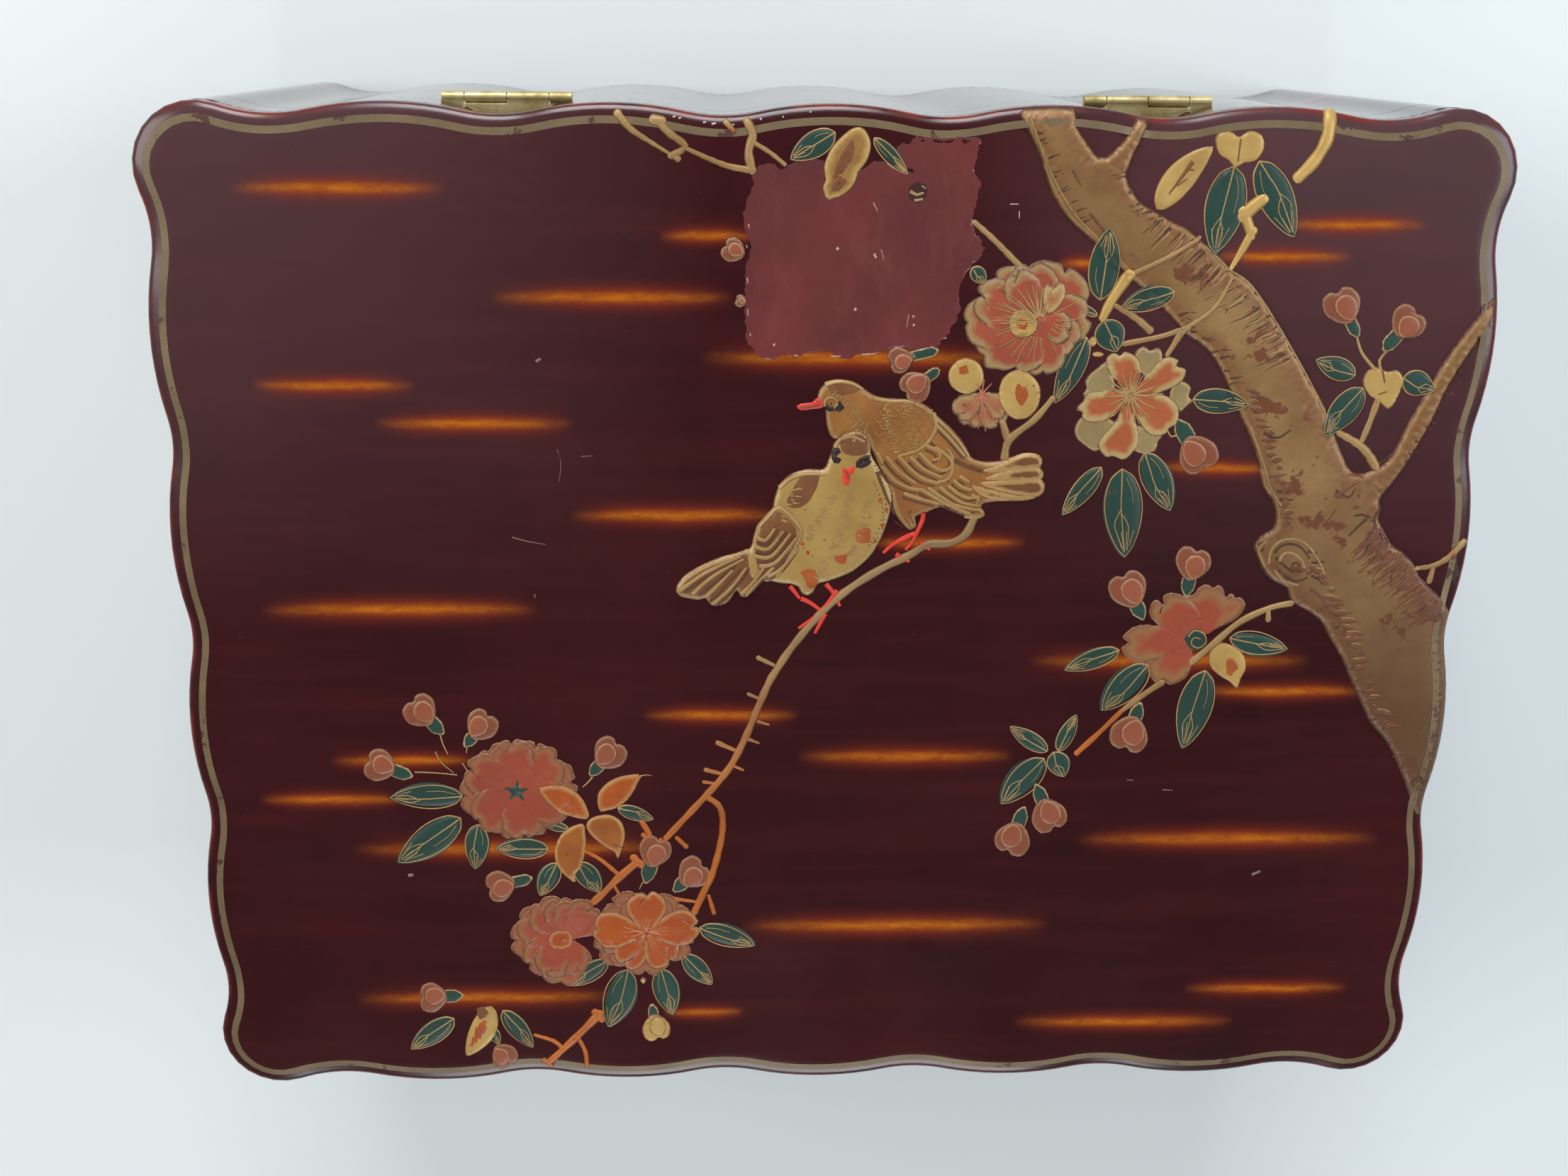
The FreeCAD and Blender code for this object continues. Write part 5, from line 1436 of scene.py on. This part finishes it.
raised("worn_leaf_patches", outlines(((1204, 196), (1190, 210), (1180, 228), (1176, 244), (1186, 246),
    (1198, 232), (1206, 214)), ((1178, 252), (1172, 266), (1182, 270), (1190, 258)), ((672, 1424),
    (684, 1420), (690, 1430), (678, 1438))), worn_brown, rise=0.00014, shoulder=0.0003, cell=0.0012,
       heap=False)

# ---- Blossoms ----
# Each petal is built up over the ones before it: coral or orange at its heart, a pale gold rim,
# a notched tip. Buds are single rounded petals.


PETAL_HALF = ((-0.02, 0.1), (0.25, 0.34), (0.5, 0.54), (0.74, 0.57), (0.91, 0.42), (0.99, 0.22),
    (0.98, 0.07))
PETAL_NOTCH = 0.07


def petal(centre, turn, reach, width, seed):
    """One petal with a notched tip: centre, reach and width in pixels, turn in degrees."""
    pick = random.Random(seed + round(turn))
    angle = radians(turn)
    points = [*PETAL_HALF, (1.0 - PETAL_NOTCH, 0.0)]
    points += [(along, -across) for along, across in reversed(PETAL_HALF)]
    places = []
    for along, across in points:
        rough = pick.uniform(-0.025, 0.025) if along > 0.7 else 0.0
        along, across = (along + rough) * reach, (across + rough * 0.6) * width
        places.append(on_lid(centre[0] + cos(angle) * along - sin(angle) * across,
                             centre[1] - sin(angle) * along - cos(angle) * across))
    return smooth_line(places, FINE_STEP, True)


PETAL_SHOULDER, PETAL_CELL, PETAL_DISH = 0.0007, 0.0013, -0.00008


def petals(name, centre, parts, material, rise=0.00032, heart=0.8):
    """Petals round one centre, given as (turn, reach, width)."""
    middle = on_lid(*centre)
    forms = [petal(centre, *part, seed) for seed, part in enumerate(parts)]
    hearts = [(middle, reach * pixel * heart) for turn, reach, width in parts]
    raised(name, forms, material, rise, PETAL_SHOULDER, PETAL_CELL, PETAL_DISH, hearts=hearts)


def petal_lines(centre, parts, width, start, stop, spread, count, seed):
    """Fine rays from the centre into each petal."""
    pick = random.Random(seed)
    lines = []
    for turn, reach, breadth in parts:
        for number in range(count):
            angle = radians(turn) + (number - (count - 1) / 2) * spread * breadth / reach
            first, last = reach * start, reach * stop * pick.uniform(0.75, 1.1)
            bend = angle + pick.uniform(-0.06, 0.06)
            ray = [(centre[0] + cos(way) * far, centre[1] - sin(way) * far)
                   for way, far in ((angle, first), (bend, (first + last) / 2), (angle, last))]
            lines.append((marks(*ray), width * pixel, width * 0.5 * pixel))
    return lines


coral = gilt("petal_coral", (144, 62, 38), (126, 54, 34), (120, 60, 40), 0.04, 60, ((0.0019, 134, 90, 56),
    (0.0008, 108, 56, 32), (0.0002, 136, 98, 64)), 0.05, 0.8, 0.6)
wide_rimmed = gilt("petal_wide_rimmed", (146, 64, 40), (134, 58, 36), (120, 60, 40), 0.03, 60,
    ((0.0028, 132, 98, 58), (0.0009, 112, 62, 36), (0.0002, 140, 102, 68)), 0.05, 0.8, 0.7)
pink = gilt("petal_pink", (152, 72, 46), (136, 62, 42), (128, 66, 46), 0.04, 60, ((0.0019, 148, 124, 80),
    (0.0005, 98, 58, 38)), 0.08, 0.8, 0.6)
orange_petal = gilt("petal_orange", (158, 72, 12), (142, 60, 10), (108, 50, 26), 0.07, 90,
    ((0.001, 156, 106, 62), (0.0002, 104, 62, 36)), 0.05, 0.5, 0.4)
pale_petal = gilt("petal_pale", (150, 130, 86), (128, 106, 68), (100, 74, 48), 0.06, 60,
    ((0.0008, 156, 134, 90), (0.0003, 96, 64, 42)), 0.15, 0.8)
heart_petal = gilt("petal_orange_heart", (162, 88, 50), (150, 76, 40), (126, 62, 34), 0.04, 90,
    ((0.0016, 166, 142, 92), (0.0003, 108, 76, 48)), 0.1, 0.5, 0.45)

FIRST = (1467, 453)
FIRST_PETALS = ((64, 86, 84), (136, 92, 66), (101, 84, 62), (5, 72, 60), (-33, 62, 50), (-87, 76, 60),
                (-120, 78, 56), (-148, 100, 62), (181, 108, 66), (157, 98, 62), (118, 80, 46), (-20, 46, 40))
petals("first_blossom", FIRST, FIRST_PETALS, pink)
SECOND = (1594, 557)
raised("second_blossom_back", outlines(((1600, 500), (1606, 492), (1616, 488), (1622, 494), (1634, 490),
    (1640, 498), (1638, 512), (1620, 532), (1606, 522)), ((1664, 536), (1680, 545), (1678, 560), (1686, 566),
    (1676, 572), (1664, 581), (1650, 564), (1652, 546)), ((1562, 510), (1545, 521), (1535, 530), (1530, 540),
    (1532, 548), (1525, 561), (1545, 558), (1572, 550), (1570, 530)), ((1530, 586), (1517, 600), (1517, 616),
    (1529, 628), (1545, 637), (1558, 628), (1576, 602), (1560, 588)), ((1603, 600), (1604, 620), (1598, 634),
    (1614, 641), (1630, 636), (1635, 622), (1642, 613), (1625, 606)), step=FINE_STEP), pale_petal,
       rise=0.00028, shoulder=0.0008, cell=0.0012)
raised("second_blossom_middle", [round_outline(1595, 557, 15, 0.1)], pale_petal, rise=0.0003,
       shoulder=0.0008, cell=0.0012)
raised("second_blossom_front", outlines(((1596, 554), (1580, 541), (1566, 529), (1560, 515), (1562, 503),
    (1572, 497), (1580, 501), (1586, 496), (1598, 499), (1607, 508), (1610, 522), (1606, 538), (1600, 550)),
    ((1598, 556), (1612, 536), (1624, 520), (1636, 508), (1650, 503), (1663, 508), (1661, 516), (1673, 521),
    (1670, 535), (1655, 546), (1640, 553), (1620, 559)), ((1596, 560), (1612, 557), (1634, 555), (1651, 561),
    (1662, 574), (1663, 588), (1658, 600), (1650, 604), (1645, 612), (1630, 615), (1615, 608), (1605, 592),
    (1598, 575)), ((1592, 560), (1570, 552), (1548, 551), (1530, 557), (1528, 565), (1517, 577), (1526, 582),
    (1526, 590), (1540, 596), (1560, 593), (1578, 581)), ((1593, 562), (1580, 585), (1562, 606), (1551, 620),
    (1549, 632), (1560, 645), (1570, 644), (1585, 649), (1596, 641), (1605, 628), (1607, 612), (1603, 596),
    (1597, 580)), step=FINE_STEP), heart_petal, rise=0.00045, shoulder=0.0009, cell=0.0012, swell=-0.00008,
       hearts=[(on_lid(*SECOND), 40 * pixel)] * 5)
SECOND_RAYS = ((110, 60, 50), (38, 80, 50), (-28, 78, 60), (184, 70, 50), (-98, 86, 56))
THIRD = (1675, 896)
raised("third_blossom", outlines(((1660, 882), (1661, 862), (1670, 844), (1684, 838), (1690, 830),
    (1702, 824), (1712, 829), (1719, 825), (1727, 832), (1729, 842), (1738, 836), (1743, 843), (1751, 843),
    (1757, 853), (1751, 866), (1738, 877), (1718, 886), (1700, 897), (1680, 902)), ((1676, 904), (1683, 920),
    (1681, 940), (1673, 956), (1660, 964), (1648, 966), (1641, 959), (1634, 965), (1624, 957), (1619, 943),
    (1624, 928), (1640, 914), (1658, 904)), ((1672, 890), (1650, 885), (1630, 882), (1614, 881), (1600, 884),
    (1590, 891), (1583, 900), (1591, 906), (1582, 914), (1586, 923), (1596, 932), (1612, 936), (1630, 931),
    (1650, 922), (1668, 912)), ((1646, 890), (1630, 879), (1621, 866), (1624, 851), (1633, 846), (1641, 853),
    (1641, 841), (1652, 836), (1664, 838), (1677, 845), (1690, 860), (1694, 880), (1682, 896), (1662, 898)),
    step=FINE_STEP), wide_rimmed, rise=0.00034, shoulder=0.0008, cell=0.0012, swell=-0.0001,
       hearts=[(on_lid(*THIRD), 60 * pixel)] * 4)
FOURTH = (731, 1113)
FOURTH_PETALS = tuple((index * 30 + 8, 85 - 15 * abs(sin(radians(index * 30 + 8))), 54)
                      for index in (0, 2, 4, 6, 8, 10, 1, 3, 5, 7, 9, 11))
petals("fourth_blossom", FOURTH, FOURTH_PETALS, coral)
FIFTH = (797, 1322)
petals("fifth_blossom", FIFTH, ((184, 76, 52), (159, 72, 48), (128, 64, 50), (100, 56, 44), (77, 52, 44),
    (45, 62, 50), (-142, 68, 50), (-96, 68, 54), (-70, 54, 44), (-120, 60, 44)), coral)
raised("fifth_blossom_heart", [round_outline(791, 1325, 19, 0.1, squash=0.75)], orange_petal,
       rise=0.00006, shoulder=0.0006)
SIXTH = (912, 1314)
petals("sixth_blossom_back", SIXTH, ((140, 68, 54), (40, 64, 52), (203, 76, 50), (-17, 68, 50), (-90, 62, 56),
    (165, 70, 44), (15, 68, 44), (-150, 68, 46), (115, 56, 44), (64, 56, 44)), coral, 0.00026, 0.45)
SIXTH_FRONT = ((-127, 58, 42), (-51, 56, 46), (7, 75, 44), (176, 76, 44), (90, 56, 50))
petals("sixth_blossom_front", SIXTH, SIXTH_FRONT, orange_petal, 0.00045, 0.3)
raised("third_blossom_calyx", [round_outline(1688, 902, 15, 0.08)], leaf_green, rise=0.0002, shoulder=0.0006)
brush("third_blossom_curl", twig_lines((((1676, 898), (1684, 889), (1698, 893), (1701, 906), (1690, 914),
    (1680, 908), (1684, 899), (1693, 901), 2.6, 2),)), leaf_gold, lift=0.00008, plump=0.4)
LOWER = (1385, 556)
petals("small_blossom_back", LOWER, ((-115, 50, 40), (-90, 48, 36), (-60, 52, 40), (-140, 48, 34),
    (-35, 46, 34)), pink, 0.00016, 0.3)
raised("small_blossom_front", [round_outline(1363, 530, 26, 0.05), round_outline(1438, 557, 30, 0.05,
                                                                                 squash=1.15)],
       gold_leaf, rise=0.00038, shoulder=0.0014, cell=0.0013, swell=0.0002)
raised("first_blossom_ring", [round_outline(1443, 456, 21, 0.06)], gold_leaf, rise=0.00045,
       shoulder=0.0014, cell=0.0012, swell=-0.0006)
spots = [round_outline(1442, 456, 9, 0.2), round_outline(1440, 556, 9, 0.25, squash=1.5),
         round_outline(1359, 522, 7, 0.35)]
raised("orange_spots", spots, spot_orange, rise=0.00004, shoulder=0.0002, heap=False)
raised("first_blossom_heart", outlines(((1474, 440), (1470, 420), (1473, 404), (1480, 400), (1486, 406),
    (1494, 398), (1502, 402), (1503, 416), (1496, 430), (1484, 442)), step=FINE_STEP), heart_petal,
       rise=0.0003, shoulder=0.0008, cell=0.0011)
rays = petal_lines(SECOND, SECOND_RAYS, 3.2, 0.06, 0.55, 0.5, 5, 5)
rays += petal_lines(FIRST, ((120, 72, 60), (100, 70, 50), (140, 70, 50)), 3.0, 0.1, 0.8, 0.7, 4, 6)
rays += petal_lines(FIRST, FIRST_PETALS[3:10], 1.8, 0.3, 0.8, 0.5, 3, 7)
brush("blossom_rays", rays, leaf_gold, lift=0.00006, plump=0.3, step=0.0008)
soft_rays = petal_lines(SIXTH, SIXTH_FRONT, 3.0, 0.05, 0.5, 0.35, 3, 8)
soft_rays += petal_lines(LOWER, ((-115, 60, 40), (-90, 56, 40), (-65, 60, 40), (80, 26, 30)), 3.0, 0.0, 0.8,
    0.5, 3, 10)
brush("soft_rays", soft_rays, gilt("ray_coral", (170, 108, 76), (150, 86, 60), (120, 64, 42), 0.04, 90,
    metallic=0), lift=0.00005, plump=0.3, step=0.0008)
star = [(729 + (9 if index % 2 else 19) * cos(pi * index / 5 + 0.3),
         1116 - (8 if index % 2 else 16) * sin(pi * index / 5 + 0.3)) for index in range(10)]
raised("fourth_blossom_star", outlines(star, step=0.0004), leaf_green, rise=0.00012, shoulder=0.0003)

# ---- Buds ----
# Rounded coral buds with a gold rim and a folded petal line.

bud_coral = gilt("bud_coral", (130, 64, 40), (114, 54, 34), (112, 64, 42), 0.05, 60, ((0.0017, 116, 66, 42),
    (0.0006, 140, 98, 64), (0.0002, 84, 46, 32)), 0.05, 0.8, 0.45)
bud_middle = gilt("bud_middle", (142, 76, 50), (126, 66, 42), (130, 78, 54), 0.05, 60,
    ((0.0005, 158, 118, 82), (0.0002, 96, 52, 34)), 0.05, 0.8, 0.4)
BUD_BODY = ((-0.95, 0.0), (-0.62, 0.62), (0.1, 1.08), (0.8, 0.9), (1.02, 0.4), (0.86, 0.08),
    (1.06, -0.28), (0.86, -0.86), (0.1, -1.06), (-0.62, -0.62))
BUD_MIDDLE = ((-0.86, 0.05), (-0.4, 0.56), (0.2, 0.66), (0.62, 0.34), (0.6, -0.22), (0.18, -0.6),
              (-0.42, -0.48))
bodies, middles = [], []
for px, py, radius in BUDS:
    away = min(((px - cx, py - cy) for cx, cy, size in CALYXES), key=lambda gap: hypot(*gap))
    ahead = Vector(away).normalized()
    aside = Vector((-ahead.y, ahead.x))
    pick = random.Random(px)
    lean = pick.choice((-1, 1))
    for points, store, shift in ((BUD_BODY, bodies, 0.0), (BUD_MIDDLE, middles, 0.12 * lean)):
        store.append(smooth_line([on_lid(px + radius * (far * ahead.x + (side * lean + shift) * aside.x),
                                         py + radius * (far * ahead.y + (side * lean + shift) * aside.y))
                                  for far, side in points], FINE_STEP, True))
gold_bud = BUDS.index((925, 1448, 19))
for name, middle_name, body, middle, finish, middle_finish in (
        ("gold_bud", "gold_bud_middle", [bodies.pop(gold_bud)], [middles.pop(gold_bud)], gold_leaf,
         gold_leaf),
        ("buds", "bud_middles", bodies, middles, bud_coral, bud_middle)):
    raised(name, body, finish, rise=0.00034, shoulder=0.0009, cell=0.0011, swell=0.0001)
    raised(middle_name, middle, middle_finish, rise=0.0003, shoulder=0.0009, swell=0.0002)

# ---- Orange and ochre leaves ----
# Two leaves in orange and two in ochre spring from one point and lie over the fourth blossom.

ochre_leaf = gilt("ochre_leaf", (150, 86, 26), (132, 70, 20), (104, 56, 26), 0.06, 120,
    ((0.0009, 166, 124, 68), (0.0002, 104, 62, 32)), 0.1, 0.5, 0.45)
raised("orange_leaves", outlines(((759, 1112), (772, 1107), (788, 1106), (802, 1110), (816, 1120),
    (826, 1134), (832, 1153), (824, 1156), (808, 1153), (790, 1146), (776, 1134), (765, 1122)), ((843, 1136),
    (843, 1121), (851, 1109), (863, 1100), (880, 1094), (905, 1092), (900, 1105), (894, 1117), (884, 1130),
    (870, 1140), (856, 1144), (847, 1145))), orange_leaf, rise=0.0004, shoulder=0.0012, cell=0.0011,
       swell=0.0002)
raised("ochre_leaves", outlines(((827, 1168), (829, 1158), (838, 1152), (850, 1149), (860, 1149), (871, 1154),
    (879, 1163), (882, 1176), (880, 1191), (872, 1211), (866, 1202), (855, 1196), (844, 1188), (834, 1179)),
    ((824, 1162), (808, 1165), (794, 1174), (786, 1186), (782, 1200), (783, 1214), (790, 1228), (800, 1238),
    (813, 1247), (812, 1234), (820, 1223), (825, 1206), (827, 1190), (826, 1174))), ochre_leaf, rise=0.0004,
       shoulder=0.0012, cell=0.0011, swell=0.0002)
brush("orange_leaf_tips", twig_lines((((903, 1094), (912, 1093), (919, 1094), 2.4, 1.2),)), leaf_gold,
      lift=0.00006, plump=0.4)

# ---- Dark chip in the lost lacquer ----
# A small dark hollow near the top of the patch, with crumbs of gold left in it.

raised("chip_in_the_patch", outlines(((1283, 262), (1296, 256), (1309, 264), (1306, 280), (1292, 287),
    (1281, 277))), gilt("dark_chip", (52, 24, 24), (44, 18, 20), (40, 16, 18), 0.05, 200, metallic=0),
       rise=0.00005, shoulder=0.0002, heap=False)
brush("gold_in_the_chip", twig_lines((((1284, 270), (1294, 275), (1303, 272), 5, 3), ((1290, 283),
    (1302, 281), 4, 3), ((1300, 262), (1306, 266), 2, 2))), leaf_gold, lift=0.00006, plump=0.3)

# ---- Small damage ----
# Chips at the rim, short scratches and pinholes in the lacquer.

chip = gilt("chips", (196, 176, 164), (160, 130, 118), (120, 80, 70), 0.05, 200, metallic=0)
brush("chips_and_scratches", twig_lines((((949, 165), (953, 164), 3, 2), ((957, 167), (961, 166), 2.6, 2),
    ((992, 173), (996, 172), 3, 2), ((1004, 175), (1010, 174), 3.4, 2), ((1023, 172), (1027, 172), 4, 3),
    ((1033, 176), (1036, 176), 2.4, 2), ((1072, 168), (1075, 168), 3.4, 2), ((1104, 165), (1106, 165), 2.6,
    2), ((1142, 158), (1145, 158), 2.6, 2), ((1425, 288), (1437, 288), 1.6, 1.2), ((1056, 316), (1057, 322),
    2, 1), ((1053, 346), (1054, 350), 1.8, 1), ((1054, 392), (1055, 400), 2, 1), ((1055, 436), (1055, 446),
    1.8, 1), ((1058, 470), (1059, 474), 2, 1.4), ((1120, 501), (1126, 502), 2, 1), ((1172, 503), (1186, 502),
    1.6, 1), ((1216, 500), (1236, 499), 1.6, 1), ((1296, 494), (1303, 493), 2, 1), ((1243, 352), (1247, 366),
    0.9, 0.6), ((1282, 444), (1279, 462), 0.9, 0.6), ((1232, 286), (1238, 298), 1.2, 0.8), ((1438, 298),
    (1438, 308), 1.4, 1.0), ((1180, 350), (1183, 352), 5, 4), ((1233, 358), (1236, 364), 4, 3), ((1205, 436),
    (1208, 437), 5, 4), ((1287, 446), (1290, 447), 4, 3), ((1288, 458), (1290, 459), 4, 3), ((1091, 486),
    (1093, 487), 5, 4))), chip, lift=0.00004, plump=0.3)
brush("scuffs", twig_lines((((756, 510), (763, 506), 5, 3), ((722, 758), (745, 764), (770, 768), 2, 1),
    ((786, 634), (791, 652), (789, 680), 1.0, 0.6), ((820, 644), (836, 643), 1.2, 0.8), ((754, 838),
    (755, 843), 2.2, 1.6), ((576, 1235), (583, 1234), 6, 5), ((1766, 1234), (1778, 1229), 5, 4),
    ((1590, 1100), (1600, 1101), 2, 1), ((1640, 1114), (1654, 1115), 2, 1.4))), gilt("scuffed_lacquer",
    (124, 102, 98), (104, 80, 76), (80, 50, 48), 0.1, 200, metallic=0), lift=0.00002, plump=0.2)
PINHOLES = 90
pick = random.Random(17)
pinholes = []
for number in range(PINHOLES):
    px, py = pick.uniform(260, 1960), pick.uniform(200, 1450)
    pinholes.append(([on_lid(px, py), on_lid(px + pick.uniform(1, 3), py + pick.uniform(-1, 1))],
                     pick.uniform(1.2, 2.6) * pixel, 1.2 * pixel))
pinholes += twig_lines((((868, 324), (894, 339), (917, 362), 1.6, 1.0), ((866, 1190), (880, 1196), 1.4, 1)))
brush("pinholes", pinholes, ink, lift=0.00001, plump=0.15)
raised("black_chip", outlines(((2043, 782), (2054, 778), (2058, 800), (2066, 832), (2058, 838), (2048, 812)),
    step=0.0008), ink, rise=0.00003, shoulder=0.0002, cell=0.002, heap=False)

# ---- Finish ----
low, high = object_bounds()
